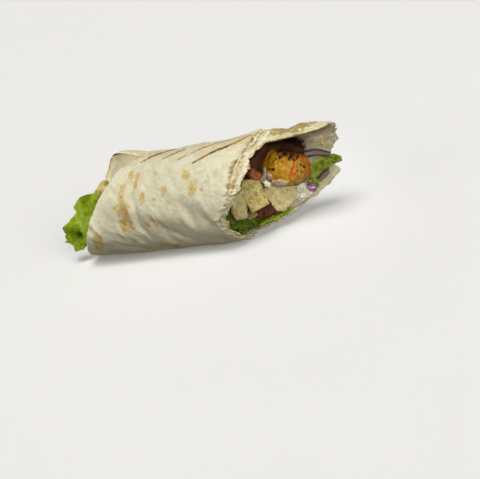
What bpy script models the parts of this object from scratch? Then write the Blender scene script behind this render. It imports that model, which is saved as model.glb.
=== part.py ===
"""One half of a shrimp wrap, cut on a slant.

A round flat bread is rolled round a filling of shrimp, toasted croutons, tomato, onion,
lettuce and dressing, and lies on its flat underside.  X runs along the roll towards the cut
end, Y across it, Z up; the origin is on the table under the middle of the half.

Every piece is its own closed solid.  The bread is one sheet wound nearly twice round, so its
two ends show the sheet's real edges.  The filling is a core that fills the roll and stops
short of both ends; the pieces that show at the ends are set into it, each in its own pocket.
"""

import math

import bmesh
import bpy
import numpy as np
from mathutils import Vector
from mathutils import noise

MM = 0.001                       # every size below is in millimetres

# The roll, seen along its axis: an oval that has settled flat on the table.
HALF_WIDTH = 31.5
HALF_HEIGHT = 29.5
AXIS_HEIGHT = 27.3               # height of the roll's axis over the table
FLOOR_BLEND = 0.6                # how softly the oval turns into the flat underside
MIDDLE_ALONG = -3.9              # the middle of the whole half, measured along the roll
MIDDLE_ACROSS = -0.65            # the middle of its width, which the winding makes uneven

# The sheet of bread: where its free edge lies, how far it winds, and how thick it is.
# Angles round the roll start at the far side and go over the top; winding angles
# start at the free edge.
SEAM_ANGLE = 78.0
SHEET_WINDING = 705.0
BREAD = 1.4
TURN_PITCH = 1.75                # how far each turn lies inside the one before it
COLUMN_STEP = 7.5
BREAD_ROWS = 15

# Both ends of the sheet along the roll, as (winding angle, place along the axis).
# The open end is the round rim of the bread; the cut end is torn and stands up as a flap.
RIM_EDGE = ((0, -28), (20, -35), (50, -43), (90, -58), (116, -66), (130, -71), (142, -75),
            (160, -78), (180, -79.5), (225, -83), (270, -86), (300, -84.5), (312, -80),
            (330, -71), (341, -65), (352, -56), (358, -46), (364, -32), (380, -33.5),
            (400, -38), (430, -45), (560, -34), (705, -24))
CUT_EDGE = ((0, 49), (17, 46.5), (38, 45), (47, 42), (54, 40), (70, 38.9), (92, 36), (102, 32),
            (111, 27.4), (130, 28.5), (198, 29.5), (210, 36), (223, 46), (239, 58), (261, 74),
            (272, 76.6), (290, 73), (300, 78), (311, 81.4), (331, 85), (345, 86.5), (357, 88.5),
            (365, 87), (370, 86), (374.5, 83), (378, 78), (380.5, 66), (383, 56.5), (388, 54),
            (395, 52), (402, 50.2), (408, 48.6), (422, 48.6), (430, 45.6), (438, 43.8),
            (452, 38.1), (466, 33), (480, 28.5), (510, 29.5), (550, 30.5), (570, 36.5),
            (583, 44), (600, 56), (631, 74), (655, 74), (680, 73), (692, 70), (698, 62),
            (705, 50))
RAGGED = 0.7                     # how far the torn edge wanders

# Shallow dents and swells of the bread: place along, angle round, length along, width round
# (mm and degrees), slant (degrees round for each mm along) and depth (minus for a swell).
FOLDS = ((-42, 176, 26, 13, 0.9, 1.3), (-12, 190, 24, 12, 0.9, 1.2),
         (6, 171, 20, 12, 1.3, 1.0), (-58, 196, 14, 12, 0.8, -0.9),
         (-26, 170, 22, 14, 0.9, -0.8), (20, 128, 20, 20, 0.6, -0.7),
         (-55, 66, 22, 20, 0.0, -5.4), (50, 70, 10, 24, 0.0, -2.6),
         (72, 66, 9, 20, 0.0, -2.2), (84, 50, 22, 22, 0.0, -1.8), (-75, 240, 20, 30, 0.0, 1.4))

# The filling.
CORE_GAP = 0.5                   # between the sheet's inner turn and what it holds
CORE_STEP = 15.0
CORE_ROWS = 11
CAP_RINGS = 4
CORE_FLOOR = TURN_PITCH + BREAD + CORE_GAP
MOUTH_ALONG = 49.1               # where the slanted cut meets the roll's axis
MOUTH_SLOPE_Y = 0.773
MOUTH_SLOPE_Z = 0.460
MOUTH_SUNK = 9.0                 # how deep the core lies under the cut
MOUTH_HOLLOW = 6.0               # how much deeper under the roll's top
OPEN_END_ALONG = -58.0
OPEN_END_SLOPE = 0.42
OPEN_END_HOLLOW = 15.0           # how much further in the core ends under the roll's top
LUMPS = 1.6

PIECE_GAP = 0.35                 # clearance of a piece in the pocket it is set into
LEAF = 0.9                       # thickness of a lettuce leaf
ONION = 1.7                      # thickness of an onion layer

# The way the filling faces out of the cut: turned to the side, lifted, and leaning.
FACE_TURN = 34.0
FACE_LIFT = 16.0
FACE_LEAN = 18.8

COLOURS = {
    "bread": ((0.80, 0.75, 0.60), 0.75),
    "filling": ((0.42, 0.33, 0.20), 0.60),
    "shrimp": ((0.80, 0.36, 0.07), 0.35),
    "crouton": ((0.66, 0.54, 0.31), 0.80),
    "tomato": ((0.42, 0.06, 0.03), 0.30),
    "lettuce": ((0.16, 0.34, 0.03), 0.45),
    "onion": ((0.55, 0.36, 0.42), 0.35),
}


# ---------------------------------------------------------------- the roll's own geometry

def winding_inset(winding):
    """How far inside the roll's outline the sheet's outer face lies at a winding angle."""
    return TURN_PITCH * winding / 360.0


def layer_inset(winding):
    """How far above the table the sheet's outer face lies where the roll is flat."""
    return TURN_PITCH * np.floor(winding / 360.0)


def core_inset(angle):
    """How far inside the outline the filling may reach at an angle round the roll."""
    behind_seam = np.mod(angle - SEAM_ANGLE, 360.0)
    sheet_end = SHEET_WINDING - 360.0
    one_turn_in = winding_inset(360.0 + np.minimum(behind_seam, sheet_end))
    ramp = np.clip((behind_seam - sheet_end) / (360.0 - sheet_end), 0.0, 1.0)
    inner = one_turn_in * (1.0 - ramp) + winding_inset(360.0) * ramp
    return inner + BREAD + CORE_GAP


def fold_depth(along, angle):
    """Depth of the dents at a place on the roll: a sum of slanted, rounded hollows."""
    depth = np.zeros(np.broadcast(along, angle).shape)
    for place, middle, length, width, slant, deep in FOLDS:
        ahead = along - place
        aside = np.mod(angle - middle - slant * ahead + 180.0, 360.0) - 180.0
        depth = depth + deep * np.exp(-(ahead / length) ** 2 - (aside / width) ** 2)
    return depth


def ring_points(along, angle, inset, floor_inset):
    """Points of the roll's outline, moved in by the insets and by the dents."""
    turn = np.radians(angle)
    inward = inset + fold_depth(along, angle)
    across = (HALF_WIDTH - inward) * np.cos(turn)
    height = (HALF_HEIGHT - inward) * np.sin(turn)
    floor = floor_inset - AXIS_HEIGHT
    over = np.clip(FLOOR_BLEND - np.abs(height - floor), 0.0, None)
    height = np.maximum(height, floor) + over ** 2 / (4.0 * FLOOR_BLEND)
    along = np.broadcast_to(along, height.shape)
    return np.stack([along, np.broadcast_to(across, height.shape), height], axis=-1)


def edge_along(outline, winding):
    """Place of one edge of the sheet along the roll, between the outline's points."""
    places = np.array(outline, dtype=float)
    return np.interp(winding, places[:, 0], places[:, 1])


def facing_axes():
    """Three directions seen from in front of the cut: across, up and out towards the eye."""
    turn, lift, lean = (math.radians(v) for v in (FACE_TURN, FACE_LIFT, FACE_LEAN))
    out = np.array([math.sin(turn) * math.cos(lift), -math.cos(turn) * math.cos(lift),
                    math.sin(lift)])
    level = np.array([math.cos(turn), math.sin(turn), 0.0])
    rise = np.cross(out, level)
    across = level * math.cos(lean) - rise * math.sin(lean)
    up = level * math.sin(lean) + rise * math.cos(lean)
    return across, up, out


# ------------------------------------------------------------------------- mesh making

def new_object(name, points, faces, slot):
    """A closed, outward facing object from points in the roll's millimetres."""
    mesh = bpy.data.meshes.new(name)
    placed = (np.asarray(points) - (MIDDLE_ALONG, MIDDLE_ACROSS, -AXIS_HEIGHT)) * MM
    mesh.from_pydata(placed.tolist(), [], [list(map(int, face)) for face in faces])
    edit = bmesh.new()
    edit.from_mesh(mesh)
    bmesh.ops.recalc_face_normals(edit, faces=edit.faces[:])
    edit.to_mesh(mesh)
    edit.free()
    obj = bpy.data.objects.new(name, mesh)
    bpy.context.scene.collection.objects.link(obj)
    obj.data.materials.append(bpy.data.materials[slot])
    return obj


def finish_shading(obj, sharp_angle=50.0):
    """Shades an object smooth, with its sharp corners kept."""
    obj.data.shade_smooth()
    obj.data.set_sharp_from_angle(angle=math.radians(sharp_angle))


def make_materials():
    """One Principled material for each finish."""
    for slot, (colour, roughness) in COLOURS.items():
        material = bpy.data.materials.new(slot)
        material.use_nodes = True
        shader = material.node_tree.nodes["Principled BSDF"]
        shader.inputs["Base Color"].default_value = (*colour, 1.0)
        shader.inputs["Roughness"].default_value = roughness
        shader.inputs["Metallic"].default_value = 0.0


def slab(front, back):
    """A closed slab between two grids of points, both faces split into triangles alike."""
    rows, columns = front.shape[:2]
    count = rows * columns
    index = np.arange(count).reshape(rows, columns)
    a, b = index[:-1, :-1].ravel(), index[1:, :-1].ravel()
    c, d = index[1:, 1:].ravel(), index[:-1, 1:].ravel()
    near = np.concatenate([np.stack([a, b, c], 1), np.stack([a, c, d], 1)])
    far = near[:, ::-1] + count
    rim = np.concatenate([index[:-1, 0], index[-1, :-1], index[:0:-1, -1], index[0, :0:-1]])
    after = np.roll(rim, -1)
    side = np.concatenate([np.stack([rim, rim + count, after + count], 1),
                           np.stack([rim, after + count, after], 1)])
    points = np.concatenate([front.reshape(-1, 3), back.reshape(-1, 3)])
    return points, np.concatenate([near, far, side])


def tube(rings, first_middle, last_middle):
    """A closed body from rings of points, drawn together to one point at each end."""
    count, around = rings.shape[:2]
    index = np.arange(count * around).reshape(count, around)
    beside = np.roll(index, -1, axis=1)
    a, b = index[:-1].ravel(), beside[:-1].ravel()
    c, d = beside[1:].ravel(), index[1:].ravel()
    first, last = count * around, count * around + 1
    start = np.stack([np.full(around, first), beside[0], index[0]], 1)
    end = np.stack([np.full(around, last), index[-1], beside[-1]], 1)
    faces = [np.stack([a, b, c], 1), np.stack([a, c, d], 1), start, end]
    points = np.concatenate([rings.reshape(-1, 3), [first_middle], [last_middle]])
    return points, np.concatenate(faces)


def through(points, samples):
    """A smooth path through a few points (Catmull-Rom), with evenly spaced parameters."""
    points = np.array(points, dtype=float)
    padded = np.vstack([2 * points[0] - points[1], points, 2 * points[-1] - points[-2]])
    place = np.linspace(0.0, len(points) - 1 - 1e-9, samples)
    span = place.astype(int)
    t = (place - span)[:, None]
    p0, p1, p2, p3 = (padded[span + k] for k in range(4))
    return 0.5 * (2 * p1 + (p2 - p0) * t + (2 * p0 - 5 * p1 + 4 * p2 - p3) * t ** 2
                  + (3 * p1 - p0 - 3 * p2 + p3) * t ** 3)


# -------------------------------------------------------------------------- the bread

def make_bread():
    """The sheet of bread: wound from its free edge on top, under the roll and round again."""
    columns = round(SHEET_WINDING / COLUMN_STEP) + 1
    winding = np.linspace(0.0, SHEET_WINDING, columns)[:, None]
    share = np.linspace(0.0, 1.0, BREAD_ROWS)[None, :]
    ragged = RAGGED * (np.sin(0.29 * winding) + np.sin(0.47 * winding + 1.0))
    rim = edge_along(RIM_EDGE, winding)
    cut = edge_along(CUT_EDGE, winding) + ragged
    along = rim + (cut - rim) * share
    angle = np.broadcast_to(SEAM_ANGLE + winding, along.shape)
    inset, floor_inset = winding_inset(winding), layer_inset(winding)
    outer = ring_points(along, angle, inset, floor_inset)
    inner = ring_points(along, angle, inset + BREAD, floor_inset + BREAD)
    bread = new_object("tortilla", *slab(outer, inner), "bread")
    finish_shading(bread)
    return bread


# ------------------------------------------------------------------------ the filling

def roll_angles():
    """Angles of the filling's columns, in step with the sheet's own columns."""
    return SEAM_ANGLE + np.arange(0.0, 360.0, CORE_STEP)


def lumps(points):
    """Gentle bumps of a cut filling, as a sum of sines over the end face."""
    across, height = points[..., 1], points[..., 2]
    return LUMPS * (np.sin(0.42 * across + 0.6) * np.sin(0.37 * height)
                    + 0.6 * np.sin(0.8 * across - 0.5 * height))


def cap_rings(edge, place):
    """Rings that close an end, drawn in to the axis, with `place` giving each x."""
    rings = []
    for share in np.linspace(1.0, 0.0, CAP_RINGS + 1)[:-1]:
        ring = edge * (1.0, share, share)
        ring[:, 0] = place(ring)
        rings.append(ring)
    return rings


def mouth_floor(points):
    """Where the core ends under the slanted cut: deeper under the roll's top."""
    across, height = points[..., 1], points[..., 2]
    top = np.clip((height + 2.0) / 20.0, 0.0, 1.0)
    sunk = MOUTH_SUNK + MOUTH_HOLLOW * top * top * (3.0 - 2.0 * top)
    return MOUTH_ALONG + MOUTH_SLOPE_Y * across + MOUTH_SLOPE_Z * height - sunk + lumps(points)


def open_end(points):
    """Where the core ends at the roll's open end: further in at the top."""
    height = points[..., 2]
    top = np.clip((height - 8.0) / 16.0, 0.0, 1.0)
    sunk = OPEN_END_HOLLOW * top * top * (3.0 - 2.0 * top)
    return OPEN_END_ALONG + OPEN_END_SLOPE * height + sunk + lumps(points)


def make_core():
    """The packed filling: it fills the roll and ends in two bumpy faces."""
    angle = roll_angles()
    inset = core_inset(angle)
    probe = ring_points(0.0, angle, inset, CORE_FLOOR)
    first = cap_rings(probe, open_end)
    last = cap_rings(probe, mouth_floor)
    start, stop = first[0][:, 0], last[0][:, 0]
    sides = []
    for share in np.linspace(0.0, 1.0, CORE_ROWS):
        sides.append(ring_points(start + (stop - start) * share, angle, inset, CORE_FLOOR))
    rings = np.array(first[:0:-1] + sides + last[1:])
    middles = [np.array([[0.0, 0.0, 0.0]]) for _ in range(2)]
    middles[0][:, 0] = open_end(middles[0])
    middles[1][:, 0] = mouth_floor(middles[1])
    return new_object("filling", *tube(rings, middles[0][0], middles[1][0]), "filling")


def make_room():
    """The space inside the rolled bread, run out past both ends: what holds the pieces."""
    angle = roll_angles()
    places = np.concatenate([[-140.0], np.linspace(-90.0, 90.0, 10), [140.0]])
    rings = np.array([ring_points(place, angle, core_inset(angle), CORE_FLOOR)
                      for place in places])
    ends = [np.array([place, 0.0, 0.0]) for place in (places[0], places[-1])]
    return new_object("room", *tube(rings, *ends), "filling")


# ----------------------------------------------------------------- pieces in the filling

def roughen(points, centre, amount, scale, seed):
    """Moves points in and out from a centre by smooth noise."""
    moved = []
    for point in points:
        ray = Vector(point - centre)
        wave = noise.noise(ray / scale + Vector((seed * 7.3, seed * 1.9, seed * 4.1)))
        moved.append(point + np.array(ray.normalized()) * amount * wave)
    return np.array(moved)


def turned(axes, degrees):
    """Turns the across and up directions about the out direction."""
    across, up, out = axes
    c, s = math.cos(math.radians(degrees)), math.sin(math.radians(degrees))
    return across * c + up * s, up * c - across * s, out


def make_cube_lump(name, slot, centre, size, roll_degrees, seed, squareness=5.0, cuts=3):
    """A torn cube of toast or tomato: a cube grid drawn towards a rounded block."""
    edit = bmesh.new()
    bmesh.ops.create_cube(edit, size=2.0)
    bmesh.ops.subdivide_edges(edit, edges=edit.edges[:], cuts=cuts, use_grid_fill=True)
    bmesh.ops.triangulate(edit, faces=edit.faces[:])
    unit = np.array([vert.co[:] for vert in edit.verts])
    faces = [[vert.index for vert in face.verts] for face in edit.faces]
    edit.free()
    reach = (np.abs(unit) ** squareness).sum(axis=1) ** (-1.0 / squareness)
    local = unit * reach[:, None] * np.array(size) / 2.0
    points = np.array(centre) + local @ np.array(turned(facing_axes(), roll_degrees))
    rough = roughen(points, np.array(centre, dtype=float), 0.16 * min(size), 5.0, seed)
    obj = new_object(name, rough, faces, slot)
    finish_shading(obj, 35.0)
    return obj


SHRIMP = {"centre": (54.4, 9.6, 5.5), "half": (14.1, 9.9, 8.4), "curl": 0.030,
          "segments": 5, "groove": 0.45}


def make_shrimp():
    """A curled shrimp seen from its back: a long oval bent backwards, ringed by segments."""
    across, up, out = turned(facing_axes(), -4.0)
    half, segments = SHRIMP["half"], SHRIMP["segments"]
    station = np.cos(np.linspace(math.pi, 0.0, 17)[1:-1])
    around = np.linspace(0.0, 2.0 * math.pi, 21)[:-1]
    girth = (1.0 - np.abs(station) ** 2.4) ** 0.5 * (1.0 - 0.06 * station)
    groove = SHRIMP["groove"] * (0.5 + 0.5 * np.cos(station * math.pi * segments)) ** 3
    local_up = np.outer(girth * half[1] - groove, np.cos(around))
    local_out = np.outer(girth * half[2] - groove, np.sin(around))
    local_across = np.outer(station * half[0], np.ones(len(around)))
    local_out = local_out - SHRIMP["curl"] * local_across ** 2 + 2.0
    rings = (np.array(SHRIMP["centre"]) + local_across[..., None] * across
             + local_up[..., None] * up + local_out[..., None] * out)
    tips = []
    for side in (-1.0, 1.0):
        back = 2.0 - SHRIMP["curl"] * half[0] ** 2
        tips.append(np.array(SHRIMP["centre"]) + side * half[0] * across + back * out)
    shrimp = new_object("shrimp", *tube(rings, *tips), "shrimp")
    finish_shading(shrimp)
    return shrimp


def make_leaf(name, slot, spine, facing, half_widths, ruffle, waves, thick, steps, cup=0.0):
    """A thin wavy sheet that faces one way: a spine, a width along it, and ruffled edges.

    Each point is spine + v * half width * side, moved along the sheet's normal by
    ruffle * |v|**1.5 * sin(waves along) and by cup * v**2.
    """
    path = through(spine, steps[0])
    tangent = np.gradient(path, axis=0)
    side = np.cross(np.asarray(facing, dtype=float), tangent)
    side /= np.linalg.norm(side, axis=1)[:, None]
    normal = np.cross(tangent, side)
    normal /= np.linalg.norm(normal, axis=1)[:, None]
    along = np.linspace(0.0, 1.0, steps[0])
    half = np.interp(along, np.linspace(0.0, 1.0, len(half_widths)), half_widths)
    v = np.linspace(-1.0, 1.0, steps[1])
    phase = 2.0 * math.pi * waves * along[:, None] + 1.3 * np.sign(v)[None, :]
    lift = ruffle * np.abs(v) ** 1.5 * np.sin(phase) + cup * v ** 2
    middle = (path[:, None, :] + (half[:, None] * v)[..., None] * side[:, None, :]
              + lift[..., None] * normal[:, None, :])
    surface = np.cross(np.gradient(middle, axis=0), np.gradient(middle, axis=1))
    surface *= 0.5 * thick / np.linalg.norm(surface, axis=2)[..., None]
    obj = new_object(name, *slab(middle + surface, middle - surface), slot)
    finish_shading(obj)
    return obj


def make_toppings():
    """The shrimp, the toast and the tomato that show in the cut, the firmest first."""
    return [
        make_shrimp(),
        make_cube_lump("crouton_1", "crouton", (38.4, -5.8, -2.6), (13.6, 18.0, 13.0), -24, 1),
        make_cube_lump("crouton_2", "crouton", (45.4, 8.4, -11.2), (16.0, 14.5, 13.0), 12, 2),
        make_cube_lump("crouton_3", "crouton", (31.4, -13.0, -4.0), (9.0, 17.0, 9.0), 8, 3),
        make_cube_lump("crouton_4", "crouton", (33.8, -7.4, -13.0), (5.8, 5.0, 5.8), 30, 4,
                       cuts=2),
        make_cube_lump("tomato_1", "tomato", (38.2, 1.2, -14.9), (13.0, 8.4, 10.0), 20, 5, 3.0),
        make_cube_lump("tomato_2", "tomato", (40.8, -3.0, 8.2), (10.0, 6.0, 8.5), -36, 6, 3.0),
        make_cube_lump("crouton_5", "crouton", (-58.2, -7.6, 12.3), (12.2, 13.0, 12.0), -35, 8),
    ]


def make_salad():
    """The lettuce leaves and onion layers that lie between the toppings."""
    out = facing_axes()[2]
    return [
        make_leaf("lettuce_right", "lettuce",
                  ((59, 21.4, -14.0), (63.4, 20.8, -11.0), (65.6, 21.2, -6.6),
                   (68.0, 23.2, -1.8), (74.2, 25, 1.2), (81.0, 26, 0.9)),
                  out, (1.4, 2.0, 3.2, 5.2, 3.8, 1.5), 0.9, 2.2, LEAF, (16, 6)),
        make_leaf("onion_top", "onion", ((62, 19.5, 8.6), (68.5, 22.4, 8.0), (76, 24.4, 4.8)),
                  out, (1.6, 2.4, 1.2), 0.0, 0.0, ONION, (8, 4), 0.4),
        make_leaf("onion_right", "onion", ((66, 21.0, -8.4), (70, 22.2, -6.4), (74, 23.4, -3.8)),
                  out, (1.6, 2.6, 1.8), 0.0, 0.0, ONION, (6, 4), 0.4),
        make_leaf("onion_bright", "onion",
                  ((59.6, 17.8, -10.4), (61.8, 18.9, -11.1), (63.8, 19.9, -11.4)),
                  out, (1.7, 2.4, 1.8), 0.0, 0.0, ONION, (5, 4), 0.4),
        make_leaf("onion_pink", "onion",
                  ((47, 12.0, -18.0), (51.5, 14.2, -16.2), (56.5, 16.0, -14.9)),
                  out, (2.4, 3.2, 2.2), 0.0, 0.0, ONION, (7, 4), 0.8),
        make_leaf("onion_white", "onion",
                  ((41, -4, 4.5), (46.2, -2.6, 7.2), (47.6, -1.6, 11.4)),
                  (0.8, 0.5, -0.3), (2.4, 2.8, 2.2), 0.0, 0.0, ONION, (7, 4), 0.4),
        make_leaf("lettuce_strip", "lettuce",
                  ((34.0, -5.0, -20.0), (39.0, 1.5, -20.2), (43.2, 8.0, -20.4),
                   (46.8, 14.0, -19.8)),
                  (0.0, 0.1, 1.0), (5.0, 5.0, 5.0, 4.0), 0.5, 2.5, LEAF * 1.6, (11, 5)),
        make_leaf("lettuce_front", "lettuce",
                  ((16.0, -22.6, -7.0), (21.8, -21.0, -9.8), (27.2, -16.6, -12.6),
                   (31.6, -10.6, -16.6), (36.4, -4.4, -19.6)),
                  out, (3.4, 5.0, 6.4, 4.6, 1.4), 1.4, 2.4, LEAF, (14, 8), -1.0),
        make_leaf("lettuce_end", "lettuce",
                  ((-56, -11, 0), (-66, -13.5, -1.0), (-76, -14.5, -4.5), (-85.0, -14.2, -9.5),
                   (-93.5, -13.6, -13.6)),
                  (-0.1, -1.0, -0.05), (10.0, 15.5, 13.5, 11.0, 5.5), 2.8, 2.7, LEAF,
                  (18, 11), 1.0),
    ]


# ------------------------------------------------------------------------------ carving

def grown_copy(obj, distance):
    """A copy of an object swollen by a distance, used as the shape of its pocket."""
    copy = obj.copy()
    copy.data = obj.data.copy()
    copy.name = obj.name + "_pocket"
    bpy.context.scene.collection.objects.link(copy)
    normals = [vert.normal.copy() for vert in copy.data.vertices]
    for vert, normal in zip(copy.data.vertices, normals):
        vert.co += normal * distance * MM
    copy.hide_render = True
    copy.display_type = "WIRE"
    return copy


def boxes_meet(first, second):
    """Whether two objects' boxes, which are in one frame, touch."""
    low_a, high_a = np.array(first.bound_box).min(axis=0), np.array(first.bound_box).max(axis=0)
    low_b, high_b = np.array(second.bound_box).min(axis=0), np.array(second.bound_box).max(axis=0)
    return bool(np.all(low_a <= high_b) and np.all(low_b <= high_a))


def keep_largest(mesh):
    """Leaves only the largest connected body of a mesh, with slivers merged away."""
    edit = bmesh.new()
    edit.from_mesh(mesh)
    bmesh.ops.triangulate(edit, faces=edit.faces[:])
    left, bodies = set(edit.verts), []
    while left:
        body, front = set(), [left.pop()]
        while front:
            vert = front.pop()
            body.add(vert)
            for edge in vert.link_edges:
                other = edge.other_vert(vert)
                if other in left:
                    left.discard(other)
                    front.append(other)
        bodies.append(body)
    bodies.sort(key=lambda body: sum(face.calc_area() for vert in body
                                     for face in vert.link_faces))
    scraps = [vert for body in bodies[:-1] for vert in body]
    bmesh.ops.delete(edit, geom=scraps, context="VERTS")
    edit.to_mesh(mesh)
    edit.free()


def carve(obj, cutter, operation):
    """Applies one exact Boolean to an object and keeps the largest body left."""
    cut = obj.modifiers.new(operation.lower(), "BOOLEAN")
    cut.operation = operation
    cut.solver = "EXACT"
    cut.object = cutter
    graph = bpy.context.evaluated_depsgraph_get()
    mesh = bpy.data.meshes.new_from_object(obj.evaluated_get(graph))
    obj.modifiers.clear()
    obj.data = mesh
    keep_largest(mesh)


def fit_together(core, pieces, room):
    """Trims the pieces to the space in the roll, and cuts each one's pocket in the rest."""
    pockets = []
    for piece in pieces:
        carve(piece, room, "INTERSECT")
        for pocket in pockets:
            if boxes_meet(piece, pocket):
                carve(piece, pocket, "DIFFERENCE")
        pockets.append(grown_copy(piece, PIECE_GAP))
    for pocket in pockets:
        if boxes_meet(core, pocket):
            carve(core, pocket, "DIFFERENCE")
    finish_shading(core)
    for scrap in pockets + [room]:
        bpy.data.objects.remove(scrap)


def main():
    """Clears the scene and models the half wrap."""
    for obj in list(bpy.data.objects):
        bpy.data.objects.remove(obj)
    make_materials()
    make_bread()
    fit_together(make_core(), make_toppings() + make_salad(), make_room())


main()
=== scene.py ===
"""The looks of half a shrimp wrap: bread, filling, salad and dressing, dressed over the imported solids.

Sizes are in millimetres in the roll's own frame, whose origin is on the roll's axis: X runs along
the roll towards the slanted cut, Y across it and Z up.  Roll.place turns them into the part's frame.
"""

import logging
import math
from dataclasses import dataclass
from enum import Enum, IntEnum
from itertools import product

import bpy
import numpy as np
from mathutils import Matrix, Vector


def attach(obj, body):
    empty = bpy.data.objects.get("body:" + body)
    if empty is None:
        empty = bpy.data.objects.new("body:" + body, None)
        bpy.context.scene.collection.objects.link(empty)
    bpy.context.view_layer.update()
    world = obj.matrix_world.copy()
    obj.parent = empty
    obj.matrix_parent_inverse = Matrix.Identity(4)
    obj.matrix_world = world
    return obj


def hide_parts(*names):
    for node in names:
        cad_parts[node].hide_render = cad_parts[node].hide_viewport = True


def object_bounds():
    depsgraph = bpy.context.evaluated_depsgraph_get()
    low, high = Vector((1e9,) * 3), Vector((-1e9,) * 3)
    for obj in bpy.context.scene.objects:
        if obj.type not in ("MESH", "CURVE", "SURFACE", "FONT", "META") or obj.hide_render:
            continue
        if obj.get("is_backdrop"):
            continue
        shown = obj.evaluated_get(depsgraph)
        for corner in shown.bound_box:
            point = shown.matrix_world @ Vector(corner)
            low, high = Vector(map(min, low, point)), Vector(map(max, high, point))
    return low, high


Array = np.ndarray
Colour = tuple[float, float, float]
Point = tuple[float, float, float]
Octaves = tuple[tuple[float, float, float], ...]

MM = 0.001
BODY = "root"

# The Mix node names its sockets alike for each kind of value; these are its colours.
MIX_FIRST = 6
MIX_SECOND = 7
MIX_RESULT = 2

logging.basicConfig(level=logging.INFO, format="%(message)s")
log = logging.getLogger("wrap")

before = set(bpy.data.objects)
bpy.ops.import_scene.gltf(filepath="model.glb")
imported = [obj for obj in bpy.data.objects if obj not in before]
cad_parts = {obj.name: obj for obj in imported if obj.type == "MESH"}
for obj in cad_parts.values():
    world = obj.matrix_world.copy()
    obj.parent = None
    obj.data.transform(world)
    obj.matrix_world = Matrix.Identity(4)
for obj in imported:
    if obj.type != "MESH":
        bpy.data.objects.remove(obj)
CAD_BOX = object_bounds()


class Slot(Enum):
    """The record's material slots."""

    BREAD = "bread"
    FILLING = "filling"
    SHRIMP = "shrimp"
    CROUTON = "crouton"
    TOMATO = "tomato"
    LETTUCE = "lettuce"
    ONION = "onion"


class Seed(IntEnum):
    """What each random pattern is drawn from."""

    TEARS = 11
    RIM = 12
    SWELLS = 21
    WRINKLES = 22
    PUCKERS = 23
    PORES = 24
    RIDGES = 25
    BAND = 26
    BAND_FINE = 27
    FLAP = 28
    FLAP_FINE = 29
    CURL = 31
    CURL_MIDDLE = 32
    CURL_FINE = 33
    FRAY = 41
    STREAKS = 42
    FAR_SPOTS = 51
    INNER_TURN_SPOTS = 52
    LINING_SPOTS = 53
    TORN_LAYERS = 60
    CHUNKS = 71
    CORE = 72
    SHRIMP = 81
    LEAVES = 100
    DROPS = 200


# ---------------------------------------- arithmetic

def smooth(value: Array, low: float, high: float) -> Array:
    """An S-shaped step: 0 below low, 1 above high, 3t^2 - 2t^3 between."""
    share = np.clip((value - low) / (high - low), 0.0, 1.0)
    return share * share * (3.0 - 2.0 * share)


def plateau(value: Array, low: float, up: float, down: float, high: float) -> Array:
    """1 from up to down, falling smoothly to 0 at low and at high."""
    return smooth(value, low, up) * (1.0 - smooth(value, down, high))


def wrapped(degrees: Array) -> Array:
    """An angle brought into -180 to 180 degrees."""
    return np.mod(degrees + 180.0, 360.0) - 180.0


def unit(vectors: Array) -> Array:
    """Vectors along the last axis, scaled to length 1."""
    return vectors / np.maximum(np.linalg.norm(vectors, axis=-1, keepdims=True), 1e-9)


class Noise:
    """Seeded gradient noise in space, about -1 to 1."""

    def __init__(self, seed: int) -> None:
        """Draws the lattice's permutation and its random slopes.

        Args:
            seed: Names the pattern; the same seed gives the same noise.
        """
        draw = np.random.default_rng(seed)
        self.table = draw.permutation(256)
        self.slopes = unit(draw.normal(size=(256, 3)))

    def at(self, points: Array, size: float) -> Array:
        """One octave: each lattice corner's slope times the way to it, blended by 6t^5-15t^4+10t^3.

        Args:
            points: Places, in an array whose last axis is x, y, z.
            size: The size of the pattern's bumps, in the same unit.

        Returns:
            A number for each point.
        """
        place = np.asarray(points, dtype=float) / size
        cell = np.floor(place).astype(int)
        inside = place - cell
        fade = inside ** 3 * (inside * (inside * 6.0 - 15.0) + 10.0)
        total = np.zeros(place.shape[:-1])
        for corner in product((0, 1), repeat=3):
            step = np.array(corner)
            key = self.table[(cell[..., 2] + corner[2]) & 255]
            key = self.table[(key + cell[..., 1] + corner[1]) & 255]
            key = self.table[(key + cell[..., 0] + corner[0]) & 255]
            weight = np.prod(np.where(step == 1, fade, 1.0 - fade), axis=-1)
            total += weight * (self.slopes[key] * (inside - step)).sum(axis=-1)
        return total * 1.6

    def octaves(self, points: Array, rows: Octaves) -> Array:
        """A sum of chosen octaves, each given by its strength, its size and its shift."""
        return sum(strength * self.at(points + shift, size) for strength, size, shift in rows)

    def layers(self, points: Array, size: float, count: int = 3, fall: float = 0.5) -> Array:
        """Several octaves, each half the size of the one before and `fall` times as strong."""
        return sum(self.at(points + 17.3 * k, size / 2 ** k) * fall ** k for k in range(count))


def path_through(points: tuple[Point, ...], samples: int) -> Array:
    """A smooth path through a few points (Catmull-Rom), with evenly spaced parameters.

    Args:
        points: The points it passes through.
        samples: How many points the path gets.

    Returns:
        An array of samples by 3.
    """
    known = np.array(points, dtype=float)
    longer = np.vstack([2 * known[0] - known[1], known, 2 * known[-1] - known[-2]])
    place = np.linspace(0.0, len(known) - 1 - 1e-9, samples)
    span = place.astype(int)
    t = (place - span)[:, None]
    p0, p1, p2, p3 = (longer[span + k] for k in range(4))
    return 0.5 * (2 * p1 + (p2 - p0) * t + (2 * p0 - 5 * p1 + 4 * p2 - p3) * t ** 2
                  + (3 * p1 - p0 - 3 * p2 + p3) * t ** 3)


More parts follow.
